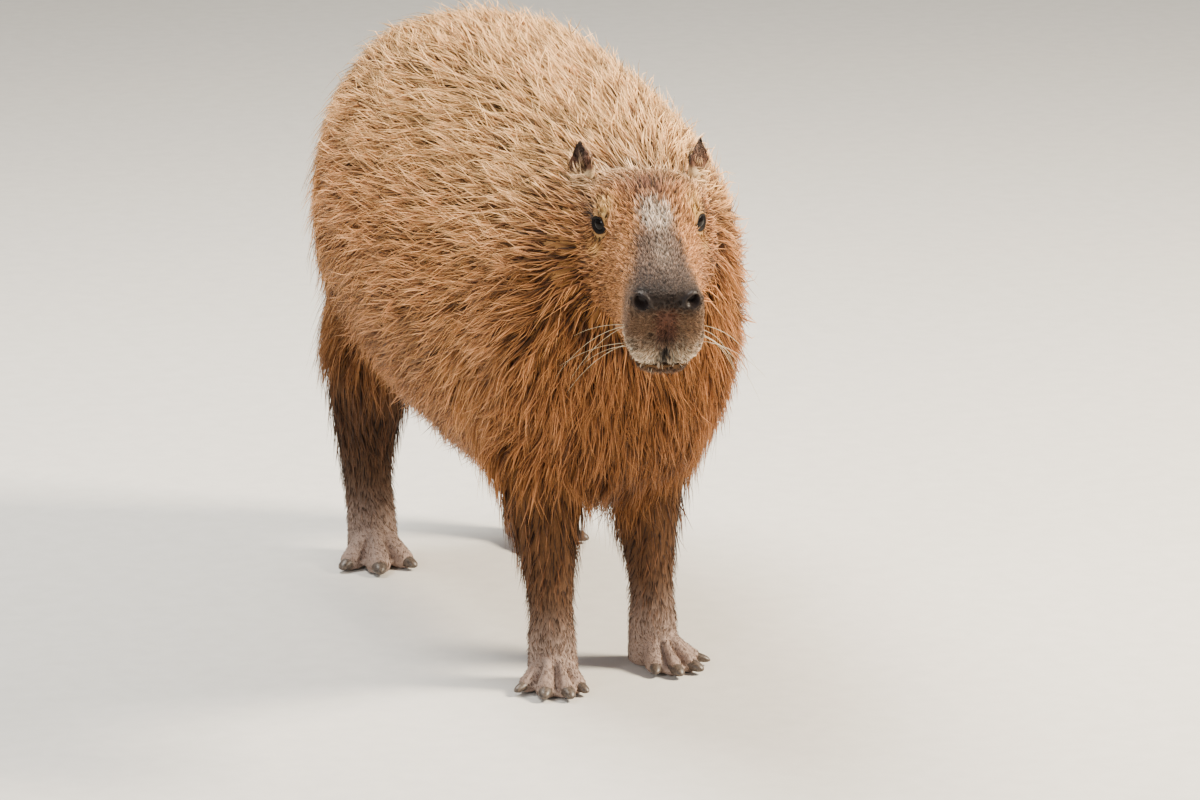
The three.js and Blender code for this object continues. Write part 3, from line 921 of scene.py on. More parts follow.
@dataclass(frozen=True)
class GuardHair(Finish):
    """Coarse guard hair of a rodent, grown: matt strands, darkened towards the root as painted shade deep in
    the coat.
    """

    name: str = "capybara guard hair"
    roughness: float = 0.55
    specular: float = 0.25
    # Hairs are drawn about 0.3 mm wide, coarser than real ones, so that they show: how often their
    # pattern repeats across the unwrap and along it.
    streaks: Triple = (1600.0, 160.0, 1.0)

    def inputs(self, tree: NodeTree) -> dict:
        """Darken each tuft towards its root as painted shade, make some tufts paler, and draw single hairs on
        them.

        Args:
            tree: Node tree that takes the patterns.

        Returns:
            Values and output sockets for the shader's inputs.
        """
        names = ("Markings", "along", "tone")
        marks, along, tone = (node(tree, "Attribute", attribute_name=name) for name in names)
        # Painted shade: each tuft runs from near black at its root to its full colour at the tip.
        fade = ramp(
            node(tree, "ValToRGB", {"Fac": along.outputs["Fac"]}),
            (0.0, "#2a211b"), (0.32, "#6b5a4e"), (0.65, "#cfc2b4"), (1.0, "#ffffff"),
        )
        own_map = node(tree, "UVMap", uv_map="OFBake").outputs["UV"]
        drawn_out = node(tree, "VectorMath", {0: own_map, 1: self.streaks}, operation="MULTIPLY")
        hairs = node(tree, "TexNoise", {"Vector": drawn_out.outputs["Vector"], "Scale": 1.0, "Detail": 1.0})
        spread = {"From Min": 0.3, "From Max": 0.7, "To Min": 0.7, "To Max": 1.3}
        streaked = node(tree, "MapRange", {"Value": hairs.outputs["Fac"], **spread})
        value = node(tree, "MapRange", {"Value": tone.outputs["Fac"], "To Min": 0.3, "To Max": 2.15})
        chroma = node(tree, "MapRange", {"Value": tone.outputs["Fac"], "To Min": 1.05, "To Max": 0.92})
        both = {0: value.outputs["Result"], 1: streaked.outputs["Result"]}
        shaded = {0: 1.0, 6: marks.outputs["Color"], 7: fade}
        toned = {
            "Saturation": chroma.outputs["Result"],
            "Value": node(tree, "Math", both, operation="MULTIPLY").outputs["Value"],
            "Color": node(tree, "Mix", shaded, data_type="RGBA", blend_type="MULTIPLY").outputs[2],
        }
        return {
            "Base Color": node(tree, "HueSaturation", toned).outputs["Color"],
            "Roughness": self.roughness,
            "Specular IOR Level": self.specular,
        }


@dataclass(frozen=True)
class ShortFurSkin(Finish):
    """Skin under short, flat fur, grown: fine streaks along the lie, bare and pebbled on nose and paws."""

    name: str = "capybara skin with short fur"
    streak: float = 0.7
    pebble: float = 1.6
    blotch: float = 14.0
    relief: float = 0.6

    def inputs(self, tree: NodeTree) -> dict:
        """Streak the furred skin and pebble the bare one.

        Args:
            tree: Node tree that takes the patterns.

        Returns:
            Values and output sockets for the shader's inputs.
        """
        names = ("Markings", "bare", "lie")
        marks, bare, lie = (node(tree, "Attribute", attribute_name=name) for name in names)
        place = node(tree, "TexCoord").outputs["Object"]
        bareness = bare.outputs["Fac"]
        fine = {"Vector": lie.outputs["Vector"], "Scale": 1 / self.streak, "Detail": 3.0, "Roughness": 0.6}
        streaks = node(tree, "TexNoise", fine).outputs["Fac"]
        grit = {"Vector": place, "Scale": 1 / (self.pebble * MM), "Randomness": 1.0}
        pebbles = node(tree, "TexVoronoi", grit)
        blotches = node(tree, "TexNoise", {"Vector": place, "Scale": 1 / (self.blotch * MM), "Detail": 4.0})
        spread = {"From Min": 0.3, "From Max": 0.7}
        streaked, blotched = (
            node(tree, "MapRange", {"Value": pattern, **spread, "To Min": low, "To Max": high})
            for pattern, low, high in ((streaks, 0.5, 1.25), (blotches.outputs["Fac"], 0.8, 1.15))
        )
        either = {0: bareness, 2: streaked.outputs["Result"], 3: blotched.outputs["Result"]}
        toned = {"Value": node(tree, "Mix", either).outputs[0], "Color": marks.outputs["Color"]}
        height = node(tree, "Mix", {0: bareness, 2: streaks, 3: pebbles.outputs["Distance"]}).outputs[0]
        bump = node(tree, "Bump", {"Height": height, "Strength": 0.5, "Distance": self.relief * MM})
        rough = node(tree, "MapRange", {"Value": bareness, "To Min": 0.75, "To Max": 0.42})
        return {
            "Base Color": node(tree, "HueSaturation", toned).outputs["Color"],
            "Roughness": rough.outputs["Result"],
            "Specular IOR Level": 0.2,
            "Normal": bump.outputs["Normal"],
        }


@dataclass(frozen=True)
class EyeGlass(Finish):
    """A taxidermist's glass eye, blown and polished: near black, with faint brown fibres and a wet coat."""

    name: str = "dark eye glass"
    fibre: float = 1.2

    def inputs(self, tree: NodeTree) -> dict:
        """Give the glass faint brown fibres under its polish.

        Args:
            tree: Node tree that takes the pattern.

        Returns:
            Values and output sockets for the shader's inputs.
        """
        place = node(tree, "TexCoord").outputs["Object"]
        fibres = node(tree, "TexNoise", {"Vector": place, "Scale": 1 / (self.fibre * MM), "Detail": 3.0})
        shades = node(tree, "ValToRGB", {"Fac": fibres.outputs["Fac"]})
        return {
            "Base Color": ramp(shades, (0.35, "#070504"), (0.7, "#170e0a")),
            "Roughness": 0.4,
            "Specular IOR Level": 0.0,
            "Coat Weight": 0.7,
            "Coat IOR": 1.3,
            "Coat Roughness": 0.015,
        }


@dataclass(frozen=True)
class Horn(Finish):
    """Keratin, grown in layers: a half gloss with streaks along the claw, the lid's rim or the whisker."""

    dark: str
    light: str
    grain: float
    roughness: float = 0.42
    specular: float = 0.5
    relief: float = 0.3

    def inputs(self, tree: NodeTree) -> dict:
        """Let colour and relief follow the layers.

        Args:
            tree: Node tree that takes the pattern.

        Returns:
            Values and output sockets for the shader's inputs.
        """
        place = node(tree, "TexCoord").outputs["Object"]
        layers = node(tree, "TexNoise", {"Vector": place, "Scale": 1 / (self.grain * MM), "Detail": 4.0})
        height = layers.outputs["Fac"]
        bump = node(tree, "Bump", {"Height": height, "Strength": 0.3, "Distance": self.relief * MM})
        return {
            "Base Color": ramp(node(tree, "ValToRGB", {"Fac": height}), (0.3, self.dark), (0.72, self.light)),
            "Roughness": self.roughness,
            "Specular IOR Level": self.specular,
            "Normal": bump.outputs["Normal"],
        }


@dataclass(frozen=True)
class StudioPaper(Finish):
    """Uncoated paper from a roll: matt, with a faint cloud of its fibres."""

    name: str = "matt studio paper"
    cloud: float = 25.0

    def inputs(self, tree: NodeTree) -> dict:
        """Cloud the paper a little.

        Args:
            tree: Node tree that takes the pattern.

        Returns:
            Values and output sockets for the shader's inputs.
        """
        place = node(tree, "TexCoord").outputs["Object"]
        clouds = node(tree, "TexNoise", {"Vector": place, "Scale": 1 / (self.cloud * MM)})
        shades = node(tree, "ValToRGB", {"Fac": clouds.outputs["Fac"]})
        return {"Base Color": ramp(shades, (0.3, "#d6d4cf"), (0.7, "#dcdad5")), "Roughness": 0.9}


def shown(name: str, data: bpy.types.ID) -> Object:
    """Put something in the scene.

    Args:
        name: Name of the new object.
        data: Mesh, lamp or camera that it shows.

    Returns:
        The object.
    """
    made = bpy.data.objects.new(name, data)
    bpy.context.scene.collection.objects.link(made)
    return made


def finished(mesh: Mesh, name: str, material: Material) -> Object:
    """Make a mesh a finished piece of the animal.

    Args:
        mesh: Mesh in metres, in the row frame.
        name: Name of the piece.
        material: Its finish.

    Returns:
        The new object.
    """
    piece = shown(name, mesh)
    mesh.materials.append(material)
    mesh.shade_smooth()
    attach(piece, "root")
    log.info("%s: %d faces", name, len(mesh.polygons))
    return piece


def placed(points: Array) -> Array:
    """Points of the body's frame, in millimetres, in the row frame in metres."""
    return (points + SHIFT) * MM


def write_points(mesh: Mesh, points: Array) -> None:
    """Set a mesh's vertices from points of the body's frame, in millimetres."""
    mesh.vertices.foreach_set("co", placed(points).astype(np.float32).ravel())
    mesh.update()


def settled(bm: BMesh, name: str) -> Mesh:
    """Turn closed shells into a mesh.

    Args:
        bm: Shells in the body's frame, in millimetres, which are used up.
        name: Name of the mesh.

    Returns:
        The mesh in the row frame, its faces outwards.
    """
    bmesh.ops.recalc_face_normals(bm, faces=bm.faces)
    mesh = bpy.data.meshes.new(name)
    bm.to_mesh(mesh)
    bm.free()
    write_points(mesh, np.array([vert.co for vert in mesh.vertices]))
    return mesh


def read_rows(items: bpy.types.bpy_prop_collection, field: str, width: int, kind: type = np.float32) -> Array:
    """Read a field of many items of a mesh.

    Args:
        items: Vertices, normals, edges or triangles.
        field: Name of the field.
        width: How many numbers it holds.
        kind: Type of these numbers.

    Returns:
        One row for each item.
    """
    flat = np.empty(len(items) * width, kind)
    items.foreach_get(field, flat)
    return flat.reshape(-1, width)


def read_points(mesh: Mesh) -> Array:
    """A mesh's vertices as points of the body's frame, in millimetres."""
    return read_rows(mesh.vertices, "co", 3).astype(float) / MM - SHIFT


def read_normals(mesh: Mesh) -> Array:
    """The unit normals of a mesh's vertices."""
    return read_rows(mesh.vertex_normals, "vector", 3).astype(float)


def tag(mesh: Mesh, name: str, values: Array) -> None:
    """Store something on a mesh's vertices.

    Args:
        mesh: Mesh that takes it.
        name: Name under which materials find it.
        values: Numbers, vectors or colours with alpha in linear light, one for each vertex.
    """
    width = values.shape[1] if values.ndim > 1 else 1
    kind, field = {1: ("FLOAT", "value"), 3: ("FLOAT_VECTOR", "vector"), 4: ("FLOAT_COLOR", "color")}[width]
    mesh.attributes.new(name, kind, "POINT").data.foreach_set(field, values.astype(np.float32).ravel())


def paint(mesh: Mesh, colours: Array) -> None:
    """Store colours in linear light on a mesh's vertices, as the attribute Markings."""
    tag(mesh, "Markings", np.column_stack([colours, np.ones(len(colours))]))


def flow(points: Array, normals: Array) -> Array:
    """The lie of the coat along the surface.

    Args:
        points: Places in the body's frame, in millimetres.
        normals: Unit normals of the surface there.

    Returns:
        Unit vectors along the surface, from root to tip.
    """
    x, y, z = points.T
    zero, one = np.zeros_like(x), np.ones_like(x)
    low = 1 - smooth(z, 300, 560)
    rump = smooth(y, 480, 640)
    front = smooth(-normals[:, 1], 0.35, 0.9) * (1 - smooth(y, -60, 60))
    sinking = 0.12 + 0.5 * low + 2.2 * rump
    trunk = np.stack([zero, 1 - 0.8 * rump, -sinking], 1)
    chest = np.stack([0.75 * np.clip((x + 20) / 130, -1, 1), zero, -one], 1)
    made = between(trunk, chest, front)
    made = between(made, np.array([0, 0.1, -1]), leg_share(points))
    made = between(made, np.array([0, -1, -0.5]), 1 - smooth(z, 30, 60))
    there = in_head(points)
    hx, hy, hz = there.T
    outwards = np.sign(hx) * smooth(np.abs(hx), 0, 30)
    backwards = np.stack([0.25 * outwards, one, -0.35 * (1 - smooth(hz, -30, 20))], 1)
    radial = unit(np.stack([hx, 0.15 * np.abs(hx), hz + 34], 1))
    head = between(backwards, radial, smooth(-hy, 128, 154))
    head = between(head, np.array([0, 0.15, -1]), smooth(-hz, 85, 91) * smooth(-hy, 115, 135))
    for eye in EYES:
        away = there - eye.centre()
        head = head + unit(away) * (4.0 * np.exp(-(away**2).sum(1) / 19**2))[:, None]
    made = between(made, from_head(unit(head)), head_share(points))
    for ear in EARS:
        up = np.array(ear.ear_frame().to_3x3() @ Vector((0, 0.2, 1)))
        made = between(made, up, ear.share(points)[0])
    return unit(made - normals * (made * normals).sum(1, keepdims=True))


@dataclass
class Skin:
    """The skin of the whole animal as one surface, a coat's depth inside the solids."""

    voxel: float = 2.4
    trunk_depth: float = 4.0
    head_depth: float = 1.6
    leg_depth: float = 1.2
    toe_depth: float = 0.3
    target: int = 118000
    rounds: int = 40
    lid: float = 1.7
    crease: float = 1.1
    eye_opening: float = 7.4
    nostril: tuple[float, float] = (7.6, 5.4)
    nostril_turn: float = 24.0
    nostril_depth: float = 8.5
    nostril_wing: float = 1.1
    mouth_depth: float = 3.4
    lip: float = 1.3
    cleft_depth: float = 3.2
    toe_slit: float = 6.5

    def shells(self) -> Mesh:
        """Shape all the flesh as closed shells.

        Returns:
            The shells in one mesh, in the row frame.
        """
        bm = bmesh.new()
        TRUNK.shell(bm, Matrix(), -self.trunk_depth)
        HEAD.shell(bm, HEAD_FRAME, -self.head_depth)
        JAW.shell(bm, HEAD_FRAME, -self.head_depth)
        for limb in LIMBS:
            limb.form().shell(bm, Matrix(), -self.leg_depth, floor=True)
            for toe in limb.toes:
                toe.form(limb.side).shell(bm, limb.paw_frame(), -self.toe_depth, floor=True)
        for ear in EARS:
            ear.shell(bm)
        for eye in EYES:
            tilt = Matrix.Rotation(math.radians(-eye.slant), 4, "X")
            place = HEAD_FRAME @ Matrix.Translation(eye.centre()) @ tilt
            for vert in bmesh.ops.create_uvsphere(bm, u_segments=32, v_segments=24, radius=1)["verts"]:
                vert.co = place @ Vector(np.array(vert.co) * (np.array(eye.lid) - self.head_depth * 0.5))
        return settled(bm, "flesh")

    def modified(self, mesh: Mesh, kind: str, **settings: object) -> Mesh:
        """Apply a modifier.

        Args:
            mesh: Mesh that keeps its shape.
            kind: Blender's name for the modifier's type.
            settings: Its properties, and as vertex_group the share of each vertex.

        Returns:
            A copy of the mesh with the modifier applied.
        """
        carrier = shown("carrier", mesh)
        if "vertex_group" in settings:
            group = carrier.vertex_groups.new(name="share")
            share = settings.pop("vertex_group")
            for level in range(1, 11):
                chosen = np.flatnonzero(np.round(share * 10).astype(int) == level)
                group.add(chosen.tolist(), level / 10, "REPLACE")
            settings["vertex_group"] = "share"
        modifier = carrier.modifiers.new("step", kind)
        for key, value in settings.items():
            setattr(modifier, key, value)
        graph = bpy.context.evaluated_depsgraph_get()
        made = bpy.data.meshes.new_from_object(carrier.evaluated_get(graph))
        bpy.data.objects.remove(carrier)
        return made

    def creases_filled(self, mesh: Mesh) -> None:
        """Raise the hollows where two forms meet, so that flesh runs smoothly from one to the next.

        Args:
            mesh: The joined flesh, which is changed.
        """
        points = read_points(mesh)
        edges = read_rows(mesh.edges, "vertices", 2, np.int32)
        ends, others = edges.T.ravel(), edges.T[::-1].ravel()
        count = np.bincount(ends, minlength=len(points))
        strength = 0.12 + 0.83 * smooth(points[:, 2], 70, 150)
        strength *= 1 - 0.9 * head_share(points)
        even = 0.12 * np.minimum(1, 14 / self.rounds)
        for _ in range(self.rounds):
            write_points(mesh, points)
            normals = read_normals(mesh)
            mean = np.stack([np.bincount(ends, points[others, k], len(points)) for k in range(3)], 1)
            mean = mean / count[:, None]
            rise = np.clip(((mean - points) * normals).sum(1), 0, None)
            points += normals * (rise * strength)[:, None] + (mean - points) * even
        write_points(mesh, points)

    def thinned(self, mesh: Mesh) -> Mesh:
        """Take faces out where the long coat hides them.

        Args:
            mesh: The joined flesh.

        Returns:
            A thinner copy.
        """
        points = read_points(mesh)
        fine = np.maximum(smooth(head_share(points), 0.02, 0.2), 1 - smooth(points[:, 2], 70, 120))
        ratio = self.target / (2 * len(mesh.polygons))
        return self.modified(
            mesh, "DECIMATE", ratio=ratio, vertex_group=1 - fine, use_collapse_triangulate=True
        )

    def refined(self, mesh: Mesh) -> None:
        """Split the faces round the eyes and on the muzzle, and once more where the details are.

        Args:
            mesh: The skin, which is changed.
        """
        bm = bmesh.new()
        bm.from_mesh(mesh)
        for reach in (1.0, 0.45):
            there = in_head(np.array([vert.co for vert in bm.verts]) / MM - SHIFT)
            x, y, z = there.T
            near = y < -132
            if reach < 1:
                near &= (
                    (np.linalg.norm(np.abs(there) - np.abs(NOSTRIL), axis=1) < 14)
                    | (nose_share(there) > 0.03)
                    | (np.abs(x) < 6)
                    | (np.abs(z - mouth_line(y)) < 6)
                )
            for eye in EYES:
                near |= np.linalg.norm(there - eye.centre(), axis=1) < 18 + 7 * reach
            bm.verts.ensure_lookup_table()
            chosen = [edge for edge in bm.edges if near[edge.verts[0].index] and near[edge.verts[1].index]]
            bmesh.ops.subdivide_edges(bm, edges=chosen, cuts=1, use_grid_fill=True, smooth=0.0)
            bmesh.ops.triangulate(bm, faces=[face for face in bm.faces if len(face.verts) > 4])
            bm.verts.index_update()
        bm.to_mesh(mesh)
        bm.free()

    def carved(self, mesh: Mesh) -> None:
        """Press in the eye openings, the nostrils, the line of the mouth and the cleft of the lip.

        Args:
            mesh: The skin, which is changed.
        """
        points = read_points(mesh)
        there = in_head(points)
        x, y, z = there.T
        move = np.zeros_like(there)
        normals = in_head(read_normals(mesh) + np.array(EYE_MIDDLE))
        for eye in EYES:
            almond, high, front = eye.almond(there)
            away = there - eye.centre()
            reach = np.linalg.norm(away, axis=1)
            # The lids lie on the ball, a crease runs above them, and the opening shows the ball.
            socket = eye.radius + self.lid + 8.5 * np.clip(almond - 1, 0, None)
            target = between(reach, np.minimum(reach, socket), front * (1 - smooth(almond, 1.7, 2.6)))
            cover = smooth(almond, 1.0, 1.14) * front * (reach < 22)
            target = np.maximum(target, (eye.radius + 0.9) * cover)
            target -= self.crease * np.exp(-(((almond - 1.7) / 0.17) ** 2)) * smooth(high, 1, 5) * front
            target += (self.eye_opening - target) * (1 - smooth(almond, 0.88, 1.1)) * front
            move += away * ((target / np.maximum(reach, 1e-6)) - 1)[:, None]
        for side in (-1, 1):
            # Each nostril is a slanting hole with a raised wing round it.
            turn = math.radians(self.nostril_turn) * side
            dx, dz = x - side * NOSTRIL[0], z - NOSTRIL[2]
            u = dx * math.cos(turn) + dz * math.sin(turn)
            v = -dx * math.sin(turn) + dz * math.cos(turn)
            ring = np.hypot(u / self.nostril[0], v / self.nostril[1])
            hole = (1 - smooth(ring, 0.45, 1.05)) * smooth(-y, 146, 152)
            move += np.array([-side * 1.5, self.nostril_depth, 1.5]) * hole[:, None]
            wing = np.exp(-((ring - 1.3) / 0.28) ** 2) * smooth(-y, 146, 154)
            move += normals * (self.nostril_wing * wing)[:, None]
        groove = mouth_share(there, 2.6)
        move -= normals * (self.mouth_depth * groove)[:, None]
        lip = np.exp(-((z - mouth_line(y) - 6) / 3.4) ** 2) * smooth(-y, 100, 140)
        move += normals * (self.lip * lip * (1 - groove))[:, None]
        cleft = np.exp(-((x / 1.7) ** 2)) * smooth(-y, 148, 156)
        cleft *= smooth(-z, 30, 60) * smooth(z, -96, -88)
        move += np.array([0, self.cleft_depth, 0]) * cleft[:, None]
        write_points(mesh, points + from_head(move))

    def toes_parted(self, mesh: Mesh) -> None:
        """Press in the slits between the toes.

        Args:
            mesh: The skin, which is changed.
        """
        points, normals = read_points(mesh), read_normals(mesh)
        depth = np.zeros(len(points))
        for limb in LIMBS:
            there = in_frame(points, limb.paw_frame())
            reach = np.hypot(there[:, 0], there[:, 1])
            turn = np.degrees(np.arctan2(there[:, 0], -there[:, 1])) * limb.side
            for first, second in zip(limb.toes, limb.toes[1:]):
                away = np.radians(turn - (first.fan + second.fan) / 2) * reach
                slit = np.exp(-((away / 3.4) ** 2)) * smooth(reach, 22, 42) * (1 - smooth(reach, 90, 110))
                depth = np.maximum(depth, slit * (1 - smooth(points[:, 2], 30, 44)))
        points -= normals * (self.toe_slit * depth * smooth(normals[:, 2], -0.3, 0.4))[:, None]
        points[:, 2] = np.maximum(points[:, 2], FLOOR_GAP)
        write_points(mesh, points)

    def coordinates(self, points: Array) -> Array:
        """Work out streak coordinates.

        Args:
            points: Places in the body's frame, in millimetres.

        Returns:
            Places in millimetres, stretched along the lie and fine across it.
        """
        legs = points * (1, 1, 0.16)
        body = between(points * (1, 0.12, 1), legs, smooth(leg_share(points), 0.4, 0.6))
        return between(body, in_head(points) * (1, 0.22, 1), smooth(head_share(points), 0.4, 0.6))

    def build(self) -> Object:
        """Build and dress the skin.

        Returns:
            The skin, which stands for all nodes of flesh.
        """
        mesh = self.modified(self.shells(), "REMESH", mode="VOXEL", voxel_size=self.voxel * MM)
        self.creases_filled(mesh)
        mesh = self.thinned(mesh)
        self.refined(mesh)
        self.carved(mesh)
        self.toes_parted(mesh)
        points = read_points(mesh)
        head, nose = head_share(points), nose_share(in_head(points))
        # Where the coat covers it, the skin is darkened by up to 40%: partly its own darker tone, partly
        # painted shade under the hair.
        under = np.maximum(smooth(points[:, 2], 20, 90), head) * (1 - nose * head)
        paint(mesh, markings(points) * (1 - 0.4 * under)[:, None])
        tag(mesh, "bare", np.maximum(nose * (head > 0.5), 0.6 * (1 - smooth(points[:, 2], 10, 26))))
        tag(mesh, "lie", self.coordinates(points))
        mesh.name = "skin"
        skin = finished(mesh, "skin", ShortFurSkin().material())
        flesh = ["head", "neck", "torso", "left_ear", "right_ear"]
        flesh += [limb.name + part for limb in LIMBS for part in ("_leg", "_paw")]
        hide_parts(*flesh)
        return skin


def strand_mesh(name: str, rows: Array, sides: Array, tops: Array, widths: Array, facts: dict) -> Mesh:
    """Join tapering, three-sided strands into one mesh.

    Args:
        name: Name of the mesh.
        rows: Middle of each strand's sections and its tip, strands by rows by 3, in millimetres.
        sides: Unit vectors across each strand at each row.
        tops: Unit vectors away from the skin at each row.
        widths: Width of each section, strands by rows, the tip's own left out.
        facts: Root colours, tones and places on the unwrap, one for each strand.

    Returns:
        The mesh, each strand closed.
    """
    sag, crest, patch_size = 0.2, 0.7, 0.003
    count, last = rows.shape[0], rows.shape[1] - 1
    body, up = rows[:, :last], tops[:, :last]
    half = widths[..., None] / 2
    left = body - sides[:, :last] * half - up * half * sag
    right = body + sides[:, :last] * half - up * half * sag
    ridge = body + up * half * crest
    ring = np.stack([left, right, ridge], 2).reshape(count, last * 3, 3)
    points = np.concatenate([ring, rows[:, last:]], 1)
    per = last * 3 + 1
    faces = [(0, 1, 2)]
    for a in range(0, last * 3 - 3, 3):
        faces += [(a, a + 3, a + 4, a + 1), (a + 1, a + 4, a + 5, a + 2), (a + 2, a + 5, a + 3, a)]
    a = (last - 1) * 3
    faces += [(a, per - 1, a + 1), (a + 1, per - 1, a + 2), (a + 2, per - 1, a)]
    pattern = np.concatenate([np.array(face) for face in faces])
    sizes = np.array([len(face) for face in faces])
    loops = (pattern[None] + (np.arange(count) * per)[:, None]).ravel()
    starts = np.concatenate([[0], np.cumsum(np.tile(sizes, count))[:-1]])
    mesh = bpy.data.meshes.new(name)
    mesh.vertices.add(count * per)
    mesh.loops.add(len(loops))
    mesh.polygons.add(len(sizes) * count)
    mesh.loops.foreach_set("vertex_index", loops.astype(np.int32))
    mesh.polygons.foreach_set("loop_start", starts.astype(np.int32))
    mesh.vertices.foreach_set("co", placed(points.reshape(-1, 3)).astype(np.float32).ravel())
    mesh.update(calc_edges=True)
    along = np.concatenate([np.repeat(np.arange(last) / last, 3), [1.0]])
    across = np.concatenate([np.tile([0.0, 1.0, 0.5], last), [0.5]])
    if "colour" in facts:
        paint(mesh, np.repeat(facts["colour"], per, axis=0))
    tag(mesh, "along", np.tile(along, count))
    tag(mesh, "tone", np.repeat(facts["tone"], per))
    patch = facts["place"][:, None, :] + (np.stack([across, along], 1) - 0.5)[None] * patch_size
    layer = mesh.uv_layers.new(name="OFBake")
    layer.data.foreach_set("uv", patch.reshape(-1, 2)[loops].astype(np.float32).ravel())
    return mesh


@dataclass(frozen=True)
class Growth:
    """How one layer of the coat grows.

    The layer takes a share of the coat's lift, from low to high, and its tufts lean to the middle of
    their clump by the gather. Its rows are the sections below each tip.
    """

    tufts: int
    rows: int
    clump: float
    width: float
    low: float
    high: float
    gather: float
    stray: float


class Layer(Enum):
    """The layers of the coat."""

    UNDERCOAT = Growth(23000, 2, 12.0, 1.15, 0.15, 0.7, 0.55, 0.0)
    OVERCOAT = Growth(44000, 3, 7.0, 0.5, 0.45, 1.0, 0.4, 0.12)
    LEGS = Growth(16000, 2, 5.0, 0.8, 0.2, 1.0, 0.4, 0.05)
    FACE = Growth(37000, 2, 3.4, 0.9, 0.25, 1.0, 0.4, 0.05)
    EARS = Growth(4200, 2, 4.0, 0.7, 0.2, 0.8, 0.2, 0.05)


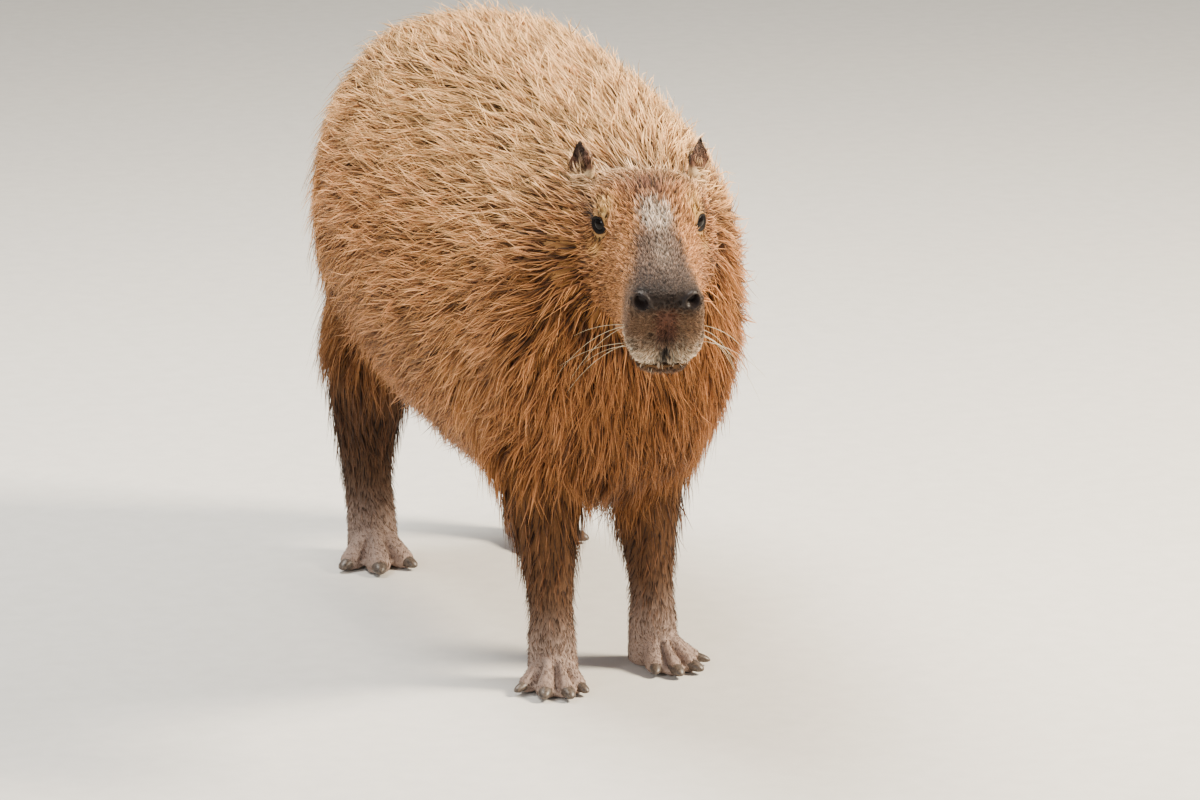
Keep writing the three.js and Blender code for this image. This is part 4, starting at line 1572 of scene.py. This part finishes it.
@dataclass
class Coat:
    """The coat: tapering tufts that follow the lie, gathered in clumps with gaps between them."""

    skin: Mesh
    seed: int = 20
    guide_reach: float = 1.2  # length of a clump's guide, as a share of its tufts' mean length
    clump_lengths: float = 0.08  # how far clumps differ in length, and tufts within a clump
    tuft_lengths: float = 0.14
    clump_wave: float = 0.03  # how far clumps and single tufts wave, as shares of their length
    tuft_wave: float = 0.018
    hang: float = 0.3
    ground: float = 1.0

    def __post_init__(self) -> None:
        """Read the skin that the coat grows on."""
        self.draw = np.random.default_rng(self.seed)
        self.skin.calc_loop_triangles()
        self.triangles = read_rows(self.skin.loop_triangles, "vertices", 3, np.int32)
        self.points, self.normals = read_points(self.skin), read_normals(self.skin)
        corner = self.points[self.triangles]
        cross = np.cross(corner[:, 1] - corner[:, 0], corner[:, 2] - corner[:, 0])
        self.areas = np.linalg.norm(cross, axis=1) / 2
        self.centres = corner.mean(1)
        self.face_normals = unit(self.normals[self.triangles].sum(1))
        self.tree = BVHTree.FromPolygons(self.points.tolist(), self.triangles.tolist(), all_triangles=True)

    def length(self, points: Array) -> Array:
        """Length of the coat.

        Args:
            points: Places in the body's frame.

        Returns:
            The length at each, in millimetres.
        """
        x, y, z = points.T
        there = in_head(points)
        _, hy, hz = there.T
        trunk = np.interp(y, [-160, -60, 60, 640], [50, 68, 82, 76])
        trunk = trunk * (1 - 0.25 * (1 - smooth(z, 215, 300)))
        brisket = (1 - smooth(y, 40, 110)) * (1 - smooth(z, 200, 300))
        trunk = trunk + 26 * brisket * (1 - smooth(np.abs(x), 20, 70))
        legs = np.interp(z, [0, 25, 60, 110, 160, 220, 300], [3, 6, 12, 22, 37, 55, 72])
        face = np.interp(hy, [-160, -140, -60, -10, 30, 100], [3.6, 5.6, 10.5, 20, 36, 54])
        face = face + 6.0 * smooth(-hz, 45, 75) * smooth(-hy, 90, 130)
        face = face * (1 + 0.9 * smooth(-hz, 20, 70) * smooth(hy, -70, 20))
        for eye in EYES:
            away = ((there - eye.centre()) ** 2).sum(1)
            face = face * (1 - 0.78 * np.exp(-away / 21**2))
        made = between(between(trunk, legs, leg_share(points)), face, head_share(points))
        for ear in EARS:
            made = between(made, 17, ear.foot(points))
            made = between(made, 5, ear.share(points)[0])
        return made

    def layers(self, points: Array) -> dict[Layer, Array]:
        """Which places belong to which layer.

        Args:
            points: Places in the body's frame, in millimetres.

        Returns:
            For each layer, whether each place belongs to it.
        """
        ears = np.max([np.maximum(ear.share(points)[0], ear.foot(points)) for ear in EARS], axis=0) > 0.5
        face = (head_share(points) > 0.5) & ~ears
        legs = (leg_share(points) > 0.5) & ~face
        trunk = ~(face | legs | ears)
        return dict(zip(Layer, (trunk, trunk, legs, face, ears)))

    def grown_share(self, points: Array) -> Array:
        """How much coat grows: none on the nose, in the openings, on soles and claws.

        Args:
            points: Places in the body's frame, in millimetres.

        Returns:
            The share at each place, from 0 to 1.
        """
        there = in_head(points)
        face = head_share(points) > 0.3
        share = 1 - smooth(nose_share(there), 0.7, 0.92) * face
        share = share * (1 - 0.95 * mouth_share(there, 3.0) * face) * (1 - 0.85 * cleft_share(there) * face)
        for eye in EYES:
            almond, _, front = eye.almond(there)
            open_eye = front * (np.abs(there[:, 0]) < 70) > 0
            share = share * np.where(open_eye, smooth(almond, 1.04, 1.22), 1)
        share = share * smooth(points[:, 2], 3, 8)
        for ear in EARS:
            on, ahead = ear.share(points)
            share = share * (1 - 0.5 * on * ahead)
        return share

    def scattered(self, faces: Array, weight: Array, count: int) -> tuple[Array, Array]:
        """Scatter places over some of the skin's triangles.

        Args:
            faces: Indices of the triangles.
            weight: How much each of them takes.
            count: How many places are wanted.

        Returns:
            The places and the skin's normals there.
        """
        total = np.cumsum(weight)
        evenly = (np.arange(count) + self.draw.random(count)) / count * total[-1]
        chosen = self.triangles[faces[np.searchsorted(total, evenly)]]
        a, b = self.draw.random((2, count))
        flip = a + b > 1
        a, b = np.where(flip, 1 - a, a), np.where(flip, 1 - b, b)
        share = np.stack([1 - a - b, a, b], 1)[..., None]
        return (self.points[chosen] * share).sum(1), unit((self.normals[chosen] * share).sum(1))

    def walked(self, roots: Array, normals: Array, lengths: Array, steps: int = 6) -> tuple[Array, Array]:
        """Walk from each root along the lie of the coat, over the skin.

        Args:
            roots: Where the walks start.
            normals: Unit normals there.
            lengths: How far each goes.
            steps: In how many steps.

        Returns:
            The places on the skin and the normals there, walks by steps by 3.
        """
        turn = 0.2 * ripple(roots, 170, 3) + 0.13 * ripple(roots, 60, 4)
        turn = turn + self.draw.normal(0, 0.07, len(roots))
        bend = self.draw.normal(0, 0.05, len(roots))
        way_places, way_normals = [roots], [normals]
        here, up = roots, normals
        for _ in range(steps):
            lie = flow(here, up)
            side = np.cross(lie, up)
            lie = lie * np.cos(turn)[:, None] + side * np.sin(turn)[:, None]
            turn = turn + bend
            ahead = here + lie * (lengths / steps)[:, None]
            found = [self.tree.find_nearest(co) for co in ahead.tolist()]
            facing = self.face_normals[np.array([hit[2] for hit in found])]
            # A step that would land on the far side of a thin part climbs instead.
            through = ((facing * up).sum(1) < -0.15)[:, None]
            climbed = here + up * (0.8 * lengths / steps)[:, None]
            here = np.where(through, climbed, np.array([hit[0] for hit in found]))
            up = np.where(through, up, unit(up * 0.35 + facing * 0.65))
            way_places.append(here)
            way_normals.append(up)
        return np.stack(way_places, 1), np.stack(way_normals, 1)

    def along_way(self, way: Array, share: Array) -> Array:
        """Read walks at shares of their length.

        Args:
            way: Places or normals along each walk.
            share: Where each walk is read, from 0 to 1.

        Returns:
            Places or normals, walks by shares by 3.
        """
        steps = way.shape[1] - 1
        t = np.clip(share, 0, 1) * steps
        low = np.clip(t.astype(int), 0, steps - 1)
        part = (t - low)[..., None]
        index = np.arange(len(way))[:, None]
        return way[index, low] * (1 - part) + way[index, low + 1] * part

    def usual_width(self, length: Array) -> Array:
        """Width of a tuft of some length, in millimetres."""
        return np.interp(length, [3, 8, 20, 45, 70], [0.55, 0.8, 1.2, 1.7, 2.1])

    def grown(self, layer: Layer) -> tuple[dict, Array]:
        """Grow one layer's tufts.

        Args:
            layer: Layer of the coat.

        Returns:
            What strand_mesh takes, and the roots.
        """
        habit, draw = layer.value, self.draw
        count, last = habit.tufts, habit.rows
        face_length, share = self.length(self.centres), self.grown_share(self.centres)
        # Surfaces that face down grow hair only from a few centimetres above the floor.
        off_sole = self.face_normals[:, 2] + 0.02 * np.maximum(self.centres[:, 2] - 8, 0)
        share = share * smooth(off_sole, -0.6, -0.2)
        there = in_head(self.centres)
        lips = smooth(-there[:, 2], 50, 80) * smooth(-there[:, 1], 110, 135) * head_share(self.centres)
        weight = self.areas * share * (1 + 1.6 * lips) / (face_length * self.usual_width(face_length))
        faces = np.flatnonzero(self.layers(self.centres)[layer] & (weight > 0))
        # Guides, one for each clump, walk over the skin.
        guides = int(self.areas[faces].sum() / habit.clump**2)
        g_roots, g_normals = self.scattered(faces, self.areas[faces] * np.sqrt(share[faces]), guides)
        g_length = self.length(g_roots) * (1 + draw.normal(0, self.clump_lengths, guides))
        way, ups = self.walked(g_roots, g_normals, g_length * self.guide_reach)
        near = KDTree(guides)
        for index, co in enumerate(g_roots.tolist()):
            near.insert(co, index)
        near.balance()
        # Each tuft follows the nearest guide, shifted to its own root and drawn to the guide's tip.
        roots, normals = self.scattered(faces, weight[faces], count)
        owner = np.array([near.find(co)[1] for co in roots.tolist()])
        length = g_length[owner]
        scale = np.clip(1 + draw.normal(0, self.tuft_lengths, count), 0.5, self.guide_reach)
        t = np.linspace(0, 1, last + 1)[None]
        share_along = t * scale[:, None] / self.guide_reach
        path = self.along_way(way[owner], share_along)
        top = unit(self.along_way(ups[owner], share_along))
        gather = habit.gather * draw.random(count) ** 0.6
        offset = (roots - g_roots[owner])[:, None] * (1 - gather[:, None, None] * (t**1.1)[..., None])
        lift = np.interp(length, [3, 8, 20, 45, 70, 85], [0.7, 2.3, 6.5, 12, 18, 20])
        level = habit.low + (habit.high - habit.low) * draw.random(count)
        stray = draw.random(count) < habit.stray
        height = lift * level * np.where(stray, 1.6, 1.0)
        sink = np.minimum(1.2, 0.12 * length)
        raised = -sink[:, None] * (1 - t) + height[:, None] * t**0.75
        rows = path + offset + top * raised[..., None]
        # Clumps wave together, each tuft strays a little, and hair under the body hangs.
        sides = unit(np.cross(np.gradient(rows, axis=1), top))
        phase = draw.random(guides)[owner, None] * 2 * math.pi
        sway = np.sin(t * 5.2 + phase) - np.sin(phase)
        wave = draw.normal(0, self.clump_wave, guides)[owner] * length
        own = draw.normal(0, self.tuft_wave, count) * np.where(stray, 3.5, 1.0) * length
        rows = rows + sides * (wave[:, None] * sway + own[:, None] * t**1.5)[..., None]
        hang = self.hang * length * np.clip(-normals[:, 2], 0, 1) * (1 - head_share(roots))
        rows[..., 2] -= hang[:, None] * t**1.6
        rows[..., 2] = np.maximum(rows[..., 2], self.ground)
        width = self.usual_width(length) * habit.width * (0.7 + 0.6 * draw.random(count))
        taper = np.interp(t[0, :-1], [0, 0.3, 0.7, 1], [0.8, 1.0, 0.7, 0.3])
        # Tufts that lie lower in the coat are darker, as painted shade within it; clumps and tufts also
        # differ at random.
        tone = 0.16 + 0.42 * level + draw.normal(0, 0.19, guides)[owner] + draw.normal(0, 0.27, count)
        blur = {Layer.FACE: 2.2, Layer.EARS: 0.5}.get(layer, 9.0)
        facts = {"colour": markings(roots + draw.normal(0, blur, roots.shape)), "tone": np.clip(tone, 0, 1)}
        widths = width[:, None] * taper[None]
        return {"rows": rows, "sides": sides, "tops": top, "widths": widths, "facts": facts}, roots

    def unwrap(self, roots: Array, layer: Layer) -> Array:
        """Places on an unwrap of the skin: round the body and along it.

        Args:
            roots: Roots of tufts, in the body's frame.
            layer: Layer of the coat that they belong to.

        Returns:
            Two coordinates for each root, from 0 to 1 within their piece.
        """
        x, y, z = roots.T
        if layer in (Layer.FACE, Layer.EARS):
            hx, hy, hz = in_head(roots).T
            flat = np.stack([np.arctan2(hx, hz + 35), hy], 1)
        elif layer is Layer.LEGS:
            which = np.argmin([limb.nearness(roots) for limb in LIMBS], axis=0)
            axis = np.array([[limb.x, limb.y + 14] for limb in LIMBS])[which]
            angle = np.arctan2(x - axis[:, 0], y - axis[:, 1])
            flat = np.stack([angle + which * 2 * math.pi * 1.02, z], 1)
        else:
            flat = np.stack([np.arctan2(x, z - 405), y], 1)
        low, high = flat.min(0), flat.max(0)
        return 0.005 + 0.99 * (flat - low) / np.maximum(high - low, 1e-6)

    def split(self, roots: Array, layer: Layer) -> dict[str, Array]:
        """Part a layer's tufts.

        Args:
            roots: Their roots, in the body's frame.
            layer: Layer of the coat that they belong to.

        Returns:
            Which tufts make up which named piece.
        """
        name = layer.name.lower()
        if layer is Layer.LEGS:
            fore = roots[:, 1] < 280
            return {"coat_legs_fore": fore, "coat_legs_hind": ~fore}
        if layer in (Layer.FACE, Layer.EARS):
            left = in_head(roots)[:, 0] > 0
            return {f"coat_{name}_left": left, f"coat_{name}_right": ~left}
        made = {}
        left = roots[:, 0] > 0
        for band, low, high in (("shoulder", -400, 130), ("ribs", 130, 400), ("rump", 400, 900)):
            inside = (roots[:, 1] >= low) & (roots[:, 1] < high)
            made[f"{name}_{band}_left"] = inside & left
            made[f"{name}_{band}_right"] = inside & ~left
        return made

    def build(self) -> None:
        """Grow the whole coat and dress it, each piece below the size at which a mesh is thinned."""
        finish = GuardHair().material()
        for layer in Layer:
            strands, roots = self.grown(layer)
            for name, chosen in self.split(roots, layer).items():
                facts = {key: value[chosen] for key, value in strands["facts"].items()}
                facts["place"] = self.unwrap(roots[chosen], layer)
                parts = [strands[key][chosen] for key in ("rows", "sides", "tops", "widths")]
                finished(strand_mesh(name, *parts, facts), name, finish)


@dataclass
class Eyeballs:
    """Both eyes, each with the dark rim of its lids."""

    rim: float = 0.8
    lift: float = 0.4
    lid_skin: Horn = Horn("bare lid skin", "#0d0908", "#1e1613", 1.0, 0.5, 0.12)

    def ball(self, eye: Eye) -> None:
        """Build one ball, in the place of its node.

        Args:
            eye: The eye that it belongs to.
        """
        bm = bmesh.new()
        place = HEAD_FRAME @ Matrix.Translation(eye.centre())
        bmesh.ops.create_uvsphere(bm, u_segments=48, v_segments=32, radius=eye.radius, matrix=place)
        name = eye.which + "_eye"
        made = finished(settled(bm, name + "_ball"), name + "_ball", EyeGlass().material())
        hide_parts(name)

    def lid_rim(self, eye: Eye) -> None:
        """Build the bare, dark rim of one eye's lids, which lies on the ball.

        Args:
            eye: The eye that it belongs to.
        """
        facing, long, short = eye.axes()
        wide, upper, lower = eye.opening
        angles = np.linspace(0, 2 * math.pi, 64, endpoint=False)
        c, s = np.cos(angles), np.sin(angles)
        high = s * np.where(s > 0, upper, lower) * (1 - eye.pinch * c**2)
        flat = long * (c * wide)[:, None] + short * high[:, None]
        depth = np.sqrt(np.clip((eye.radius + self.lift) ** 2 - (flat**2).sum(1), 4, None))
        line = eye.centre() + flat + facing * depth[:, None]
        curve = bpy.data.curves.new("lid_rim", "CURVE")
        curve.dimensions = "3D"
        curve.bevel_depth = self.rim * MM
        curve.bevel_resolution = 2
        spline = curve.splines.new("POLY")
        spline.points.add(len(line) - 1)
        world = placed(np.array([HEAD_FRAME @ Vector(p) for p in line]))
        spline.points.foreach_set("co", np.column_stack([world, np.ones(len(world))]).ravel())
        spline.use_cyclic_u = True
        carrier = bpy.data.objects.new("lid_rim", curve)
        mesh = bpy.data.meshes.new_from_object(carrier)
        bpy.data.objects.remove(carrier)
        finished(mesh, eye.which + "_lid_rim", self.lid_skin.material())

    def build(self) -> None:
        """Build both eyes."""
        for eye in EYES:
            self.ball(eye)
            self.lid_rim(eye)


@dataclass
class Claws:
    """The claws of the four paws, one piece for each paw."""

    horn: Horn = Horn("claw horn", "#332b26", "#6a5d52", 2.2)

    def build(self) -> None:
        """Build the claws of each paw in the places of their nodes."""
        material = self.horn.material()
        for limb in LIMBS:
            bm = bmesh.new()
            for toe in limb.toes:
                toe.claw(limb.side).shell(bm, limb.paw_frame(), 0.0, floor=True)
            name = limb.name + "_claws"
            made = finished(settled(bm, name), name, material)
            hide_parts(*[limb.name + "_" + toe.name + "_claw" for toe in limb.toes])


@dataclass
class Whiskers:
    """Long pale whiskers that curve down and outwards from the upper lip."""

    count: int = 6
    length: float = 86.0
    width: float = 0.65
    seed: int = 5
    keratin: Horn = Horn("whisker keratin", "#b39a72", "#e6d8ba", 6.0, 0.35)

    def build(self) -> None:
        """Build both sides' whiskers as one piece."""
        draw = np.random.default_rng(self.seed)
        steps = np.linspace(0, 1, 9)
        rows, sides, tops = [], [], []
        for side in [-1] * self.count + [1] * self.count:
            y, z = draw.uniform(-148, -122), draw.uniform(-74, -50)
            length = self.length * draw.uniform(0.6, 1.1)
            start = np.array([side * 34, y, z])
            out = unit(np.array([side, draw.uniform(-0.1, 0.35), draw.uniform(-0.45, 0.05)]))
            drop = draw.uniform(0.3, 0.8)
            line = start + out * (steps * length)[:, None]
            line[:, 2] -= drop * length * steps**2
            line[:, 0] -= side * 0.25 * drop * length * steps**2
            rows.append(np.array([HEAD_FRAME @ Vector(p) for p in line]))
            along = np.gradient(rows[-1], axis=0)
            sides.append(unit(np.cross(along, [0.3, 1.0, 0.2])))
            tops.append(unit(np.cross(sides[-1], along)))
        taper = np.linspace(1, 0.35, len(steps) - 1)
        roots = in_head(np.array(rows)[:, 0])
        flat = np.stack([roots[:, 0] / 80 + 0.5, roots[:, 1] / 60 + 3], 1) % 1
        facts = {"tone": draw.random(len(rows)), "place": flat}
        widths = self.width * np.tile(taper, (len(rows), 1))
        mesh = strand_mesh("whiskers", np.array(rows), np.array(sides), np.array(tops), widths, facts)
        finished(mesh, "whiskers", self.keratin.material())


@dataclass
class Studio:
    """A pale floor and soft light, with the camera at the photograph's angle."""

    azimuth: float = -18.9
    elevation: float = 13.9
    distance: float = 6563.0
    focal: float = 6307.0
    target: Triple = (-10.6, 0.0, 301.0)
    image_width: float = 1200.0
    sensor: float = 36.0
    floor_reach: float = 20.0
    aim: Triple = (0.0, 0.0, 0.35)

    def turned(self, thing: Object, towards: Vector) -> None:
        """Turn a camera or a lamp in a direction."""
        thing.rotation_mode = "QUATERNION"
        thing.rotation_quaternion = towards.to_track_quat("-Z", "Y")

    def camera(self) -> None:
        """Create the camera and make it the scene's."""
        a, e = math.radians(self.azimuth), math.radians(self.elevation)
        back = np.array([math.sin(a) * math.cos(e), -math.cos(a) * math.cos(e), math.sin(e)])
        data = bpy.data.cameras.new("camera")
        data.sensor_width = self.sensor
        data.lens = self.focal / self.image_width * self.sensor
        data.clip_start, data.clip_end = 0.1, 60
        camera = shown("camera", data)
        camera.location = placed(np.array(self.target) + back * self.distance)
        self.turned(camera, Vector(-back))
        bpy.context.scene.camera = camera

    def floor(self) -> None:
        """Lay the floor, a plain matt sheet."""
        bm = bmesh.new()
        bmesh.ops.create_grid(bm, x_segments=8, y_segments=8, size=self.floor_reach)
        mesh = bpy.data.meshes.new("floor")
        bm.to_mesh(mesh)
        bm.free()
        mesh.materials.append(StudioPaper().material())
        floor = shown("floor", mesh)

    def lamp(self, name: str, place: Triple, size: float, watts: float, tint: str) -> None:
        """Hang one soft box that faces the animal.

        Args:
            name: Name of the lamp.
            place: Where it hangs, in metres.
            size: Length of its sides, in metres.
            watts: Its power.
            tint: Its colour as sRGB.
        """
        data = bpy.data.lights.new(name, "AREA")
        data.size = size
        data.energy = watts
        data.color = linear(tint)
        lamp = shown(name, data)
        lamp.location = place
        self.turned(lamp, Vector(self.aim) - Vector(place))

    def build(self) -> None:
        """Set up floor, lights and camera."""
        self.camera()
        self.floor()
        self.lamp("key", (2.7, -1.1, 2.6), 0.9, 460, "#ffeed4")
        self.lamp("top", (-0.5, 0.9, 2.9), 1.4, 170, "#fffaf0")
        self.lamp("fill", (-2.8, -2.4, 1.6), 0.6, 44, "#f8f6f4")
        world = bpy.data.worlds.new("studio")
        world.use_nodes = True
        sky = world.node_tree.nodes["Background"].inputs
        sky["Color"].default_value = (*linear("#e4e6e8"), 1)
        sky["Strength"].default_value = 0.5
        bpy.context.scene.world = world


def main() -> None:
    """Build the dressed animal and its studio."""
    Studio().build()
    skin = Skin().build()
    Coat(skin.data).build()
    Eyeballs().build()
    Claws().build()
    Whiskers().build()


if __name__ == "__main__":
    main()
